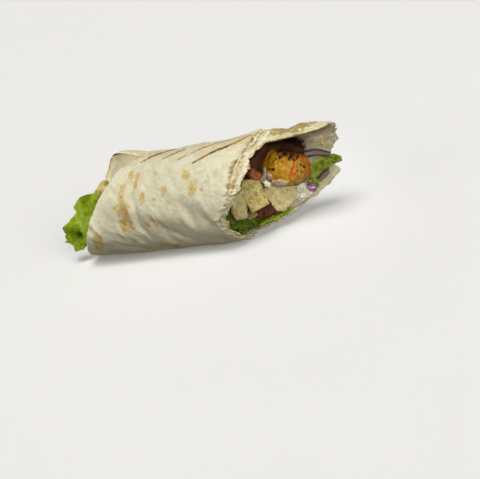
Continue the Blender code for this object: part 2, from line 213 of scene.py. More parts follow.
def line_distance(first: Array, second: Array, line: tuple) -> tuple[Array, Array]:
    """Distance of flat points to a line of straight runs.

    Args:
        first: The points' first coordinate.
        second: Their second coordinate.
        line: Two or more corners, as pairs.

    Returns:
        The distance to the nearest run, and how far along the whole line that is, from 0 to 1.
    """
    corners = np.array(line, dtype=float)
    nearest = np.full(first.shape, 1e9)
    share = np.zeros(first.shape)
    runs = len(corners) - 1
    for k in range(runs):
        way = corners[k + 1] - corners[k]
        t = ((first - corners[k][0]) * way[0] + (second - corners[k][1]) * way[1]) / (way @ way)
        t = np.clip(t, 0.0, 1.0)
        off = np.hypot(first - corners[k][0] - t * way[0], second - corners[k][1] - t * way[1])
        closer = off < nearest
        nearest = np.where(closer, off, nearest)
        share = np.where(closer, (k + t) / runs, share)
    return nearest, share


# ---------------------------------------- the roll

@dataclass(frozen=True)
class Roll:
    """The roll's outline, the same as the solids': an oval settled flat, with dents and swells.

    A fold is its place along the roll, its angle round it, half its length and width, how its
    angle moves with its place, and its depth, minus for a swell.
    """

    half_width: float = 31.5
    half_height: float = 29.5
    axis_height: float = 27.3
    floor_blend: float = 0.6
    middle: Point = (-3.9, -0.65, -27.3)
    seam: float = 78.0
    pitch: float = 1.75
    thickness: float = 1.4
    winding_end: float = 705.0
    gap: float = 0.5
    arc: float = 30.0
    face_turn: float = 34.0
    face_lift: float = 16.0
    face_lean: float = 18.8
    folds: tuple = ((-42, 176, 26, 13, 0.9, 1.3), (-12, 190, 24, 12, 0.9, 1.2),
                    (6, 171, 20, 12, 1.3, 1.0), (-58, 196, 14, 12, 0.8, -0.9),
                    (-26, 170, 22, 14, 0.9, -0.8), (20, 128, 20, 20, 0.6, -0.7),
                    (-55, 66, 22, 20, 0.0, -5.4), (50, 70, 10, 24, 0.0, -2.6),
                    (72, 66, 9, 20, 0.0, -2.2), (84, 50, 22, 22, 0.0, -1.8),
                    (-75, 240, 20, 30, 0.0, 1.4))

    def place(self, points: Array) -> Array:
        """Points of the roll's frame, in the part's frame and in metres."""
        return (np.asarray(points, dtype=float) - np.array(self.middle)) * MM

    def fold_depth(self, along: Array, angle: Array) -> Array:
        """Depth of the dents: a sum of slanted, rounded hollows, exp(-dx^2 - da^2) each.

        Args:
            along: Place along the roll.
            angle: Angle round it, in degrees.

        Returns:
            The depth, minus for a swell.
        """
        depth = np.zeros(np.broadcast(along, angle).shape)
        for place, middle, length, width, slant, deep in self.folds:
            ahead = along - place
            aside = wrapped(angle - middle - slant * ahead)
            depth = depth + deep * np.exp(-(ahead / length) ** 2 - (aside / width) ** 2)
        return depth

    def outline(self, along: Array, angle: Array, inward: Array, floor_inset: Array) -> Array:
        """Points of the oval moved in by a distance: (a - i) cos, (b - i) sin, cut off at the floor.

        Args:
            along: Place along the roll.
            angle: Angle round it, in degrees.
            inward: How far inside the bare oval the point lies, apart from the dents.
            floor_inset: How far above the table the point lies where the roll is flat.

        Returns:
            The points, with x, y, z on the last axis.
        """
        turn = np.radians(angle)
        depth = inward + self.fold_depth(along, angle)
        across = (self.half_width - depth) * np.cos(turn)
        height = (self.half_height - depth) * np.sin(turn)
        floor = floor_inset - self.axis_height
        over = np.clip(self.floor_blend - np.abs(height - floor), 0.0, None)
        height = np.maximum(height, floor) + over ** 2 / (4.0 * self.floor_blend)
        return np.stack(np.broadcast_arrays(along, across, height), axis=-1)

    def core_inset(self, angle: Array) -> Array:
        """How far inside the outline the filling may reach: one or two turns of bread and a gap.

        Args:
            angle: Angle round the roll, in degrees.

        Returns:
            The distance.
        """
        behind_seam = np.mod(angle - self.seam, 360.0)
        sheet_end = self.winding_end - 360.0
        turns_in = 1.0 + np.minimum(behind_seam, sheet_end) / 360.0
        ramp = np.clip((behind_seam - sheet_end) / (360.0 - sheet_end), 0.0, 1.0)
        return self.pitch * (turns_in * (1.0 - ramp) + ramp) + self.thickness + self.gap

    def facing(self, degrees: float = 0.0) -> Array:
        """Across, up and out, as seen from in front of the cut, turned about out.

        Args:
            degrees: How far across and up are turned.

        Returns:
            A 3 by 3 array, one direction on each row.
        """
        turn, lift, lean = (math.radians(v) for v in
                            (self.face_turn, self.face_lift, self.face_lean - degrees))
        out = np.array([math.sin(turn) * math.cos(lift), -math.cos(turn) * math.cos(lift),
                        math.sin(lift)])
        level = np.array([math.cos(turn), math.sin(turn), 0.0])
        rise = np.cross(out, level)
        return np.array([level * math.cos(lean) - rise * math.sin(lean),
                         level * math.sin(lean) + rise * math.cos(lean), out])


ROLL = Roll()


# ---------------------------------------- mesh making

def grid_quads(rows: int, columns: int, close_columns: bool = False) -> Array:
    """The quads between neighbours of a grid whose vertices are numbered row by row.

    Args:
        rows: Rows of the grid.
        columns: Vertices in each row.
        close_columns: Whether each row is a closed loop.

    Returns:
        An array of quads by 4.
    """
    index = np.arange(rows * columns).reshape(rows, columns)
    if close_columns:
        index = np.concatenate([index, index[:, :1]], axis=1)
    a, b = index[:-1, :-1], index[1:, :-1]
    c, d = index[1:, 1:], index[:-1, 1:]
    return np.stack([a.ravel(), b.ravel(), c.ravel(), d.ravel()], axis=1)


def zip_quads(loop: Array) -> Array:
    """Closes a flat loop whose vertex j lies opposite its vertex -1-j, by quads like a zip's teeth.

    Args:
        loop: The loop's vertex numbers, an even count.

    Returns:
        An array of quads by 4.
    """
    half = len(loop) // 2
    left, right = loop[:half], loop[::-1][:half]
    return np.stack([left[:-1], left[1:], right[1:], right[:-1]], axis=1)


def outward(points: Array, faces: list[Array]) -> list[Array]:
    """The faces of a closed mesh, all turned round if they point inwards (a negative volume).

    Args:
        points: The mesh's vertices.
        faces: Arrays of vertex numbers, one array for each corner count.

    Returns:
        The faces, pointing outwards.
    """
    volume = 0.0
    for group in faces:
        first = points[group[:, 0]]
        for k in range(1, group.shape[1] - 1):
            second, third = points[group[:, k]], points[group[:, k + 1]]
            volume += float(np.einsum("ij,ij->", first, np.cross(second, third)))
    return faces if volume > 0.0 else [group[:, ::-1] for group in faces]


def new_piece(name: str, points: Array, faces: list[Array], material: bpy.types.Material,
              slot: Slot, replaced: tuple[str, ...] = (), **marks: Array) -> None:
    """A smooth piece from points in the roll's frame, riding on the part's one body.

    Args:
        name: The piece's name.
        points: Its vertices, in any grid shape with x, y, z last.
        faces: Arrays of vertex numbers, one array for each corner count.
        material: Its finish.
        slot: The record's slot that the finish belongs to; not used.
        replaced: The solids it stands for.
        **marks: Numbers for each vertex that its finish reads by name.
    """
    flat = np.asarray(points, dtype=float).reshape(-1, 3)
    faces = outward(flat, faces)
    mesh = bpy.data.meshes.new(name)
    mesh.vertices.add(len(flat))
    mesh.vertices.foreach_set("co", ROLL.place(flat).astype(np.float32).ravel())
    corners = np.concatenate([group.ravel() for group in faces]).astype(np.int32)
    sizes = np.concatenate([np.full(len(group), group.shape[1]) for group in faces])
    starts = np.concatenate([[0], np.cumsum(sizes)[:-1]]).astype(np.int32)
    mesh.loops.add(len(corners))
    mesh.loops.foreach_set("vertex_index", corners)
    mesh.polygons.add(len(sizes))
    mesh.polygons.foreach_set("loop_start", starts)
    mesh.update(calc_edges=True)
    mesh.validate()
    mesh.shade_smooth()
    for mark, values in marks.items():
        layer = mesh.attributes.new(mark, "FLOAT", "POINT")
        layer.data.foreach_set("value", np.asarray(values, dtype=np.float32).ravel())
    piece = bpy.data.objects.new(name, mesh)
    bpy.context.scene.collection.objects.link(piece)
    mesh.materials.append(material)
    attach(piece, BODY)
    if replaced:
        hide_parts(*replaced)
    triangles = int((sizes - 2).sum())
    log.info("%s: %d vertices, %d triangles", name, len(flat), triangles)


def slab_mesh(middle: Array, thick: Array) -> tuple[Array, list[Array]]:
    """A closed sheet: a grid of middle points moved by half the thickness to each side.

    Args:
        middle: The sheet's middle surface, rows by columns by 3.
        thick: Its thickness at each point.

    Returns:
        The points, front grid first, and the faces.
    """
    rows, columns = middle.shape[:2]
    normal = unit(np.cross(np.gradient(middle, axis=0), np.gradient(middle, axis=1)))
    step = normal * (0.5 * thick)[..., None]
    quads = grid_quads(rows, columns)
    index = np.arange(rows * columns).reshape(rows, columns)
    rim = np.concatenate([index[:-1, 0], index[-1, :-1], index[:0:-1, -1], index[0, :0:-1]])
    after, count = np.roll(rim, -1), rows * columns
    sides = np.stack([rim, rim + count, after + count, after], axis=1)
    points = np.concatenate([(middle + step).reshape(-1, 3), (middle - step).reshape(-1, 3)])
    return points, [np.concatenate([quads, quads[:, ::-1] + count, sides])]


def tube_mesh(rings: Array) -> tuple[Array, list[Array]]:
    """A closed body from rings of points, each end drawn together to the middle of its ring.

    Args:
        rings: Rings by points by 3.

    Returns:
        The points and the faces, quads first and then the two fans.
    """
    count, around = rings.shape[:2]
    index = np.arange(count * around).reshape(count, around)
    beside = np.roll(index, -1, axis=1)
    first, last = count * around, count * around + 1
    fans = np.concatenate([
        np.stack([np.full(around, first), index[0], beside[0]], axis=1),
        np.stack([np.full(around, last), beside[-1], index[-1]], axis=1)])
    points = np.concatenate([rings.reshape(-1, 3), [rings[0].mean(axis=0)],
                             [rings[-1].mean(axis=0)]])
    return points, [grid_quads(count, around, close_columns=True), fans]



def twice(values: Array) -> Array:
    """A mark for each vertex of a closed sheet: the same on both of its sides."""
    return np.concatenate([values, values])


def padded(values: Array) -> Array:
    """A mark for each vertex of a body made from rings, with the end rings' means at its ends."""
    return np.concatenate([values.ravel(), [values[0].mean(), values[-1].mean()]])


def ball_rays(rings: int, around: int) -> Array:
    """Unit directions on rings between two poles: cos u, sin u cos v, sin u sin v.

    Args:
        rings: How many rings there are, without the poles.
        around: How many directions each ring has.

    Returns:
        An array of rings by around by 3.
    """
    lift = np.linspace(0.0, math.pi, rings + 2)[1:-1][:, None]
    turn = np.linspace(0.0, 2.0 * math.pi, around, endpoint=False)[None, :]
    return np.stack(np.broadcast_arrays(np.cos(lift), np.sin(lift) * np.cos(turn),
                                        np.sin(lift) * np.sin(turn)), axis=-1)


# ---------------------------------------- finishes

class Shade:
    """A Principled material and the nodes that feed it.  One unit of its patterns is 1 mm."""

    def __init__(self, name: str, roughness: float, specular: float = 0.4, coat: float = 0.0,
                 soft: float = 0.0, soft_reach: Colour = (1.0, 0.6, 0.3)) -> None:
        """Makes the material with the values that are the same all over it.

        Args:
            name: The material's name.
            roughness: The shader's roughness, where nothing else drives it.
            specular: The shader's specular level.
            coat: The weight of a thin wet coat.
            soft: The weight of light let in under the surface.
            soft_reach: How far red, green and blue light travels there, in millimetres.
        """
        self.material = bpy.data.materials.new(name)
        self.material.use_nodes = True
        self.tree = self.material.node_tree
        self.shader = self.tree.nodes["Principled BSDF"]
        self.set("Roughness", roughness)
        self.set("Specular IOR Level", specular)
        self.set("Coat Weight", coat)
        self.set("Coat Roughness", 0.12)
        self.set("Subsurface Weight", soft)
        self.set("Subsurface Radius", soft_reach)
        self.set("Subsurface Scale", MM)

    def set(self, socket: str, value: object) -> None:
        """Sets or feeds one of the shader's sockets."""
        self.feed(self.shader.inputs[socket], value)

    def feed(self, socket: bpy.types.NodeSocket, value: object) -> None:
        """Links a socket to a node's output, or sets it to a fixed value.

        Args:
            socket: The input to fill.
            value: A node's output, a number or a colour.
        """
        if isinstance(value, bpy.types.NodeSocket):
            self.tree.links.new(value, socket)
        elif isinstance(value, tuple) and len(value) == 3 and socket.type == "RGBA":
            socket.default_value = (*value, 1.0)
        else:
            socket.default_value = value

    def mark(self, name: str) -> bpy.types.NodeSocket:
        """A number kept on the mesh's vertices."""
        node = self.tree.nodes.new("ShaderNodeAttribute")
        node.attribute_name = name
        return node.outputs["Fac"]

    def where(self, stretch: Point = (1.0, 1.0, 1.0)) -> bpy.types.NodeSocket:
        """The place on the object, in millimetres.

        Args:
            stretch: What it is multiplied by along each axis.

        Returns:
            The place's output.
        """
        place = self.tree.nodes.new("ShaderNodeTexCoord")
        scale = self.tree.nodes.new("ShaderNodeMapping")
        scale.inputs["Scale"].default_value = tuple(s / MM for s in stretch)
        self.tree.links.new(place.outputs["Object"], scale.inputs["Vector"])
        return scale.outputs["Vector"]

    def grain(self, size: float, detail: float = 2.0, rough: float = 0.5, warp: float = 0.0,
              stretch: Point = (1.0, 1.0, 1.0)) -> bpy.types.NodeSocket:
        """Noise from 0 to 1, mostly near a half.

        Args:
            size: The size of its bumps, in millimetres.
            detail: How many finer layers it has.
            rough: How strong the finer layers are.
            warp: How far its pattern is bent.
            stretch: How much it is squeezed along each axis.

        Returns:
            The noise's output.
        """
        node = self.tree.nodes.new("ShaderNodeTexNoise")
        self.tree.links.new(self.where(stretch), node.inputs["Vector"])
        node.inputs["Scale"].default_value = 1.0 / size
        node.inputs["Detail"].default_value = detail
        node.inputs["Roughness"].default_value = rough
        node.inputs["Distortion"].default_value = warp
        return node.outputs["Fac"]

    def cells(self, size: float) -> bpy.types.NodeSocket:
        """Distance to the nearest of scattered points.

        Args:
            size: How far apart the points are, in millimetres.

        Returns:
            The distance, 0 at each point.
        """
        node = self.tree.nodes.new("ShaderNodeTexVoronoi")
        self.tree.links.new(self.where(), node.inputs["Vector"])
        node.inputs["Scale"].default_value = 1.0 / size
        return node.outputs["Distance"]

    def sum(self, first: object, second: object, how: str = "ADD") -> bpy.types.NodeSocket:
        """Two numbers added, or joined by another operation of the Math node.

        Args:
            first: The first number.
            second: The second number.
            how: The operation.

        Returns:
            The result.
        """
        node = self.tree.nodes.new("ShaderNodeMath")
        node.operation = how
        self.feed(node.inputs[0], first)
        self.feed(node.inputs[1], second)
        return node.outputs[0]

    def times(self, first: object, second: object) -> bpy.types.NodeSocket:
        """Two numbers multiplied."""
        return self.sum(first, second, "MULTIPLY")

    def step(self, value: object, low: float, high: float, start: float = 0.0,
             end: float = 1.0) -> bpy.types.NodeSocket:
        """A number moved smoothly from start to end as `value` goes from low to high.

        Args:
            value: The number that drives it.
            low: Where it starts.
            high: Where it ends.
            start: What it gives up to low.
            end: What it gives from high.

        Returns:
            The graded number.
        """
        node = self.tree.nodes.new("ShaderNodeMapRange")
        node.interpolation_type = "SMOOTHSTEP"
        self.feed(node.inputs["Value"], value)
        for socket, number in (("From Min", low), ("From Max", high), ("To Min", start),
                               ("To Max", end)):
            node.inputs[socket].default_value = number
        return node.outputs["Result"]

    def stops(self, value: object, *colours: tuple[float, Colour]) -> bpy.types.NodeSocket:
        """A colour picked by a number from a row of stops.

        Args:
            value: The number that picks.
            *colours: The stops, each a place and a colour.

        Returns:
            The colour.
        """
        node = self.tree.nodes.new("ShaderNodeValToRGB")
        ramp = node.color_ramp.elements
        while len(ramp) < len(colours):
            ramp.new(0.5)
        for element, (place, colour) in zip(ramp, colours):
            element.position = place
            element.color = (*colour, 1.0)
        self.feed(node.inputs["Fac"], value)
        return node.outputs["Color"]

    def mixed(self, share: object, first: object, second: object) -> bpy.types.NodeSocket:
        """Two colours mixed: `first` at share 0 and `second` at share 1.

        Args:
            share: The share of the second.
            first: The first colour.
            second: The second colour.

        Returns:
            The mixed colour.
        """
        node = self.tree.nodes.new("ShaderNodeMix")
        node.data_type = "RGBA"
        self.feed(node.inputs["Factor"], share)
        self.feed(node.inputs[MIX_FIRST], first)
        self.feed(node.inputs[MIX_SECOND], second)
        return node.outputs[MIX_RESULT]

    def over(self, base: object, colour: object, value: object, low: float, high: float,
             share: float = 1.0) -> bpy.types.NodeSocket:
        """`base` with up to `share` of `colour` over it, as `value` goes from low to high."""
        return self.mixed(self.step(value, low, high, 0.0, share), base, colour)

    def fray(self, *grain: object) -> bpy.types.NodeSocket:
        """Noise from -0.5 to 0.5, described as for grain."""
        return self.sum(self.grain(*grain), -0.5)

    def frayed(self, name: str, noise: object, share: float) -> bpy.types.NodeSocket:
        """A mark with a share of a noise added, so that its edge frays."""
        return self.sum(self.mark(name), self.times(noise, share))

    def bump(self, height: object, depth: float, strength: float = 1.0,
             under: bpy.types.NodeSocket | None = None) -> bpy.types.NodeSocket:
        """Fine relief in the surface's normal.

        Args:
            height: The relief, from 0 to 1.
            depth: The height of 1, in millimetres.
            strength: How much of it shows.
            under: A coarser relief that this one lies on.

        Returns:
            The bent normal, which is also set on the shader.
        """
        node = self.tree.nodes.new("ShaderNodeBump")
        node.inputs["Strength"].default_value = strength
        node.inputs["Distance"].default_value = depth * MM
        self.feed(node.inputs["Height"], height)
        if under is not None:
            self.tree.links.new(under, node.inputs["Normal"])
        self.set("Normal", node.outputs["Normal"])
        return node.outputs["Normal"]


@dataclass(frozen=True)
class BreadFinish:
    """Pale griddled flat bread: floury mottling, brown toast spots, grill lines and dry edges,
    with a pale painted highlight on the edges and painted shade inside the cavity.
    """

    cream: Colour = (0.83, 0.785, 0.575)
    dull: Colour = (0.70, 0.645, 0.43)
    oily: Colour = (0.60, 0.545, 0.335)
    flour: Colour = (0.88, 0.86, 0.72)
    lining: Colour = (0.80, 0.735, 0.50)
    yellow: Colour = (0.66, 0.54, 0.26)
    olive: Colour = (0.34, 0.26, 0.075)
    fleck: Colour = (0.17, 0.13, 0.06)
    toast: tuple[tuple[float, Colour], ...] = (
        (0.0, (0.76, 0.69, 0.43)), (0.45, (0.68, 0.54, 0.26)), (0.75, (0.74, 0.55, 0.21)),
        (1.0, (0.68, 0.47, 0.15)))
    streak_pale: Colour = (0.86, 0.70, 0.36)
    streak_dark: Colour = (0.54, 0.33, 0.09)
    tan: Colour = (0.58, 0.42, 0.155)
    brown: Colour = (0.42, 0.25, 0.07)
    burnt: Colour = (0.15, 0.07, 0.02)
    # A pale painted highlight along the dry edges.
    edge_highlight: Colour = (0.84, 0.78, 0.54)
    edge_dark: Colour = (0.52, 0.35, 0.12)
    # Painted shade inside the cavity over the shrimp.
    cavity_shaded: Colour = (0.055, 0.020, 0.011)

    def make(self) -> bpy.types.Material:
        """Builds the material from the marks toast, grill, rim, inside, tone and painted shade.

        Returns:
            The material.
        """
        shade = Shade("bread", roughness=0.7, specular=0.15, soft=0.5,
                      soft_reach=(1.6, 1.3, 0.7))
        base = shade.over(self.cream, self.dull, shade.grain(7.0, 3.0, 0.6), 0.38, 0.66, 0.6)
        base = shade.over(base, self.oily, shade.grain(3.4, 2.0, 0.5, 0.4), 0.57, 0.72, 0.5)
        base = shade.over(base, self.flour, shade.grain(2.0, 3.0, 0.6, 0.3), 0.54, 0.70, 0.45)
        base = shade.mixed(shade.times(shade.mark("inside"), 0.6), base, self.lining)
        ragged = shade.fray(1.3, 3.0, 0.6)
        tone = shade.frayed("tone", ragged, 0.9)
        base = shade.over(base, self.yellow, tone, 0.1, 0.7, 0.7)
        base = shade.over(base, self.olive, tone, 0.6, 1.0, 0.85)
        flecks = shade.step(shade.cells(4.2), 0.035, 0.075, 0.75, 0.0)
        base = shade.mixed(flecks, base, self.fleck)
        toast = shade.frayed("toast", ragged, 0.55)
        streaks = shade.over(self.streak_pale, self.streak_dark,
                             shade.grain(2.2, 3.0, 0.65, 0.8), 0.40, 0.62)
        spots = shade.over(shade.stops(toast, *self.toast), streaks, toast, 0.55, 1.0, 0.7)
        base = shade.over(base, spots, toast, 0.05, 0.60)
        grill = shade.frayed("grill", ragged, 0.9)
        dark = shade.over(self.brown, self.burnt, shade.grain(5.0, 2.0, 0.5), 0.42, 0.60)
        lines = shade.over(self.tan, dark, grill, 0.45, 0.95)
        base = shade.over(base, lines, grill, 0.15, 0.5)
        # Dry edges, browned in patches, with a pale painted highlight along them.
        edge = shade.over(self.edge_highlight, self.edge_dark, shade.grain(1.7, 3.0, 0.6, 0.4),
                          0.42, 0.62)
        base = shade.over(base, edge, shade.frayed("rim", ragged, 0.9), 0.3, 0.95, 0.9)
        # Painted shade: the inside of the bread darkens deeper into the cavity.
        base = shade.over(base, self.cavity_shaded, shade.frayed("cavity_shade", ragged, 0.5), 0.1, 0.8)
        shade.set("Base Color", base)
        coarse = shade.bump(shade.grain(2.6, 3.0, 0.55, 0.6), 0.5, 0.6)
        shade.bump(shade.grain(0.55, 2.0, 0.6), 0.09, 0.6, coarse)
        return shade.material


@dataclass(frozen=True)
class TornFinish:
    """The dry, flaky torn edge: pale cream to toasted yellow brown, with painted shade in its folds."""

    pale: Colour = (0.86, 0.81, 0.60)
    straw: Colour = (0.74, 0.62, 0.33)
    brown: Colour = (0.46, 0.30, 0.09)

    def make(self) -> bpy.types.Material:
        """Builds the material; it reads the mark toast, which holds painted shade in the folds too.

        Returns:
            The material.
        """
        shade = Shade("torn_bread", roughness=0.75, specular=0.15, soft=0.15)
        toast = shade.frayed("toast", shade.fray(1.3, 3.0, 0.65, 0.5), 1.5)
        shade.set("Base Color", shade.stops(toast, (0.20, self.pale), (0.55, self.straw),
                                            (0.95, self.brown)))
        coarse = shade.bump(shade.grain(1.1, 3.0, 0.6, 0.8), 0.45, 0.7)
        shade.bump(shade.grain(0.4, 2.0, 0.6), 0.1, 0.6, coarse)
        return shade.material


@dataclass(frozen=True)
class CrumbFinish:
    """Toasted bread cube: a porous cream crumb that browns along its edges, wet or dry,
    with painted shade in its pits.
    """

    name: str = "crouton"
    crumb: Colour = (0.69, 0.58, 0.21)
    shadow: Colour = (0.41, 0.295, 0.06)
    brown: Colour = (0.47, 0.26, 0.06)
    wet: float = 0.0
    glaze: Colour = (0.66, 0.575, 0.27)
    warm: Colour = (0.50, 0.30, 0.08)
    # Painted shade in the sunken pits.
    pore_shade: Colour = (0.24, 0.17, 0.06)

    def make(self) -> bpy.types.Material:
        """Builds the material; it reads the mark toast and the pits' painted shade.

        Returns:
            The material.
        """
        shade = Shade(self.name, roughness=0.62 - 0.3 * self.wet, specular=0.25,
                      coat=self.wet, soft=0.12)
        base = shade.over(self.crumb, self.shadow, shade.grain(2.4, 4.0, 0.65), 0.35, 0.68)
        base = shade.over(base, self.warm, shade.grain(5.0, 3.0, 0.6), 0.50, 0.66, 0.7)
        # Painted shade in the sunken pits.
        base = shade.mixed(shade.mark("pit"), base, self.pore_shade)
        coated = shade.step(shade.grain(3.4, 3.0, 0.6, 0.8), 0.53, 0.62)
        base = shade.mixed(shade.times(coated, 0.65), base, self.glaze)
        shade.set("Coat Weight", shade.times(coated, 0.25 + 0.5 * self.wet))
        toast = shade.frayed("toast", shade.fray(1.4, 3.0, 0.6), 0.9)
        shade.set("Base Color", shade.over(base, self.brown, toast, 0.35, 0.9))
        coarse = shade.bump(shade.grain(2.2, 4.0, 0.65, 0.6), 1.0, 0.9)
        shade.bump(shade.grain(0.5, 3.0, 0.6), 0.12, 0.7, coarse)
        return shade.material


@dataclass(frozen=True)
class ShrimpFinish:
    """Fried shrimp: golden orange back, red band, top char and painted shadow, pepper, pale flesh."""

    gold: Colour = (0.60, 0.32, 0.012)
    deep: Colour = (0.42, 0.17, 0.006)
    light: Colour = (0.74, 0.47, 0.05)
    red: Colour = (0.62, 0.13, 0.004)
    # Char, pepper and painted shade.
    char: Colour = (0.050, 0.014, 0.005)
    flesh: Colour = (0.76, 0.64, 0.44)

    def make(self) -> bpy.types.Material:
        """Builds the material; it reads the marks red, flesh, and char with painted shade.

        Returns:
            The material.
        """
        shade = Shade("shrimp", roughness=0.36, specular=0.25, coat=0.12, soft=0.12,
                      soft_reach=(1.6, 0.7, 0.1))
        base = shade.over(self.gold, self.deep, shade.grain(3.2, 4.0, 0.6, 0.5), 0.36, 0.64)
        base = shade.over(base, self.light, shade.grain(1.8, 3.0, 0.6), 0.56, 0.70, 0.4)
        ragged = shade.fray(1.2, 4.0, 0.65)
        base = shade.over(base, self.red, shade.frayed("red", ragged, 0.9), 0.25, 0.85, 0.9)
        base = shade.over(base, self.flesh, shade.frayed("flesh", ragged, 0.8), 0.3, 0.7)
        # Char and pepper, with painted shadow over the top.
        base = shade.over(base, self.char, shade.frayed("char", ragged, 1.0), 0.35, 0.85)
        shade.set("Base Color", base)
        coarse = shade.bump(shade.grain(1.7, 3.0, 0.6, 0.6), 0.5, 0.7)
        shade.bump(shade.grain(0.45, 2.0, 0.6), 0.12, 0.6, coarse)
        return shade.material


@dataclass(frozen=True)
class LeafFinish:
    """Lettuce: green between pale veins, thin enough to let light through, with a soft gloss,
    a painted highlight on its rim and painted shade in its dimple.
    """

    name: str
    green: Colour
    dark: Colour
    vein: Colour
    # A painted highlight along the leaf's curled rim.
    rim: Colour
    # Painted shade in the dimple's hollow.
    hollow: Colour = (0.025, 0.045, 0.002)

    def make(self) -> bpy.types.Material:
        """Builds the material; it reads vein, edge (painted highlight) and deep (painted shade).

        Returns:
            The material.
        """
        shade = Shade(self.name, roughness=0.42, specular=0.12, coat=0.01, soft=0.12,
                      soft_reach=(0.8, 1.0, 0.1))
        base = shade.over(self.green, self.dark, shade.grain(2.2, 4.0, 0.6, 0.6), 0.36, 0.66)
        # Painted highlight on the rim.
        base = shade.mixed(shade.times(shade.mark("edge"), 0.5), base, self.rim)
        vein = shade.frayed("vein", shade.fray(1.0), 0.4)
        base = shade.over(base, self.vein, vein, 0.25, 0.9, 0.8)
        # Painted shade in the dimple.
        shade.set("Base Color", shade.mixed(shade.mark("deep"), base, self.hollow))
        coarse = shade.bump(shade.grain(1.1, 3.0, 0.6, 0.8), 0.3, 0.6)
        shade.bump(shade.grain(0.6, 2.0, 0.5), 0.05, 0.4, coarse)
        return shade.material


@dataclass(frozen=True)
class OnionFinish:
    """Red onion: a wet, glassy layer, purple at its skin side and pale inside."""

    name: str
    skin: Colour
    flesh: Colour

    def make(self) -> bpy.types.Material:
        """Builds the material; it reads the mark skin.

        Returns:
            The material.
        """
        shade = Shade(self.name, roughness=0.26, specular=0.35, coat=0.25, soft=0.3,
                      soft_reach=(1.4, 0.8, 1.0))
        stripes = shade.fray(0.9, 3.0, 0.6, 0.3, (0.35, 0.35, 1.6))
        skin = shade.frayed("skin", stripes, 0.9)
        shade.set("Base Color", shade.stops(skin, (0.1, self.flesh), (0.9, self.skin)))
        shade.bump(shade.grain(0.8, 2.0, 0.5, 0.2, (0.3, 0.3, 1.5)), 0.12, 0.6)
        return shade.material


@dataclass(frozen=True)
class WetFinish:
    """A wet, fine-grained finish in two shades, for tomato and dressing."""

    name: str
    light: Colour
    dark: Colour
    grain: float
    roughness: float = 0.30
    coat: float = 0.12
    depth: float = 0.3
    specular: float = 0.25

    def make(self) -> bpy.types.Material:
        """Builds the material from one noise of the given grain.

        Returns:
            The material.
        """
        shade = Shade(self.name, roughness=self.roughness, specular=self.specular,
                      coat=self.coat, soft=0.25)
        mottle = shade.grain(self.grain, 4.0, 0.6, 0.5)
        shade.set("Base Color", shade.over(self.light, self.dark, mottle, 0.36, 0.66))
        shade.bump(shade.grain(self.grain * 0.6, 3.0, 0.55), self.depth, 0.6)
        return shade.material


@dataclass(frozen=True)
class CoreFinish:
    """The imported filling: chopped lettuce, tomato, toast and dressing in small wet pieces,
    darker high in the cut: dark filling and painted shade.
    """

    kinds: tuple[tuple[float, Colour], ...] = (
        (0.0, (0.40, 0.31, 0.13)), (0.2, (0.13, 0.19, 0.015)), (0.4, (0.50, 0.43, 0.23)),
        (0.6, (0.20, 0.055, 0.018)), (0.8, (0.17, 0.25, 0.02)), (1.0, (0.10, 0.032, 0.014)))
    soaked: Colour = (0.09, 0.045, 0.015)
    # Dark filling and painted shade, high in the cut's cavity.
    cavity_shade: Colour = (0.085, 0.024, 0.012)
    cavity_shade_dark: Colour = (0.045, 0.013, 0.007)

    def make(self) -> bpy.types.Material:
        """Builds the material; it reads the marks kind and depth, dark filling and painted shade.

        Returns:
            The material.
        """
        shade = Shade("core", roughness=0.6, specular=0.08, soft=0.1)
        base = shade.stops(shade.mark("kind"), *self.kinds)
        base = shade.over(base, self.soaked, shade.grain(1.5, 3.0, 0.6), 0.3, 0.7, 0.5)
        cavity_shade = shade.over(self.cavity_shade, self.cavity_shade_dark, shade.grain(5.0, 2.0), 0.35, 0.65)
        # The depth mark lays the cavity's dark filling and painted shade.
        shade.set("Base Color", shade.mixed(shade.mark("depth"), base, cavity_shade))
        shade.bump(shade.grain(1.6, 2.0, 0.5), 0.25, 0.5)
        return shade.material


# ---------------------------------------- the bread

@dataclass(frozen=True)
class SheetPoints:
    """Points of the wound sheet: the place along the roll and the winding angle of each."""

    along: Array
    winding: Array

    @property
    def arc(self) -> Array:
        """The way round the roll from the free edge, as if the roll were round."""
        return np.radians(self.winding) * ROLL.arc

    @property
    def angle(self) -> Array:
        """The angle round the roll, in degrees."""
        return ROLL.seam + self.winding

    def near(self, winding: float, inner: float, outer: float) -> Array:
        """1 near a winding angle, on any turn, falling to 0 from inner to outer degrees off it."""
        return 1.0 - smooth(np.abs(wrapped(self.winding - winding)), inner, outer)

    def flat(self, squeeze: float = 1.0, level: Array | float = 0.0) -> Array:
        """The sheet laid out flat for a pattern, its length along the roll times `squeeze`."""
        return np.stack(np.broadcast_arrays(self.along * squeeze, self.arc, level), axis=-1)


def arc_line(winding: Array) -> Array:
    """Places on a straight line, as far apart as winding angles are round the roll."""
    return (np.radians(winding) * ROLL.arc)[..., None] * np.array([1.0, 0.0, 0.0])


def round_distance(at: SheetPoints, line: tuple) -> tuple[Array, Array]:
    """Distance of the sheet's points to a line drawn on the roll.

    Args:
        at: The points.
        line: Two or more corners, each a place along the roll and an angle round it.

    Returns:
        The distance to the nearest run, and how far along the whole line that is, from 0 to 1.
    """
    middle = line[0][1]
    aside = np.radians(wrapped(at.angle - middle)) * ROLL.arc
    flat = tuple((x, math.radians(a - middle) * ROLL.arc) for x, a in line)
    return line_distance(at.along, aside, flat)


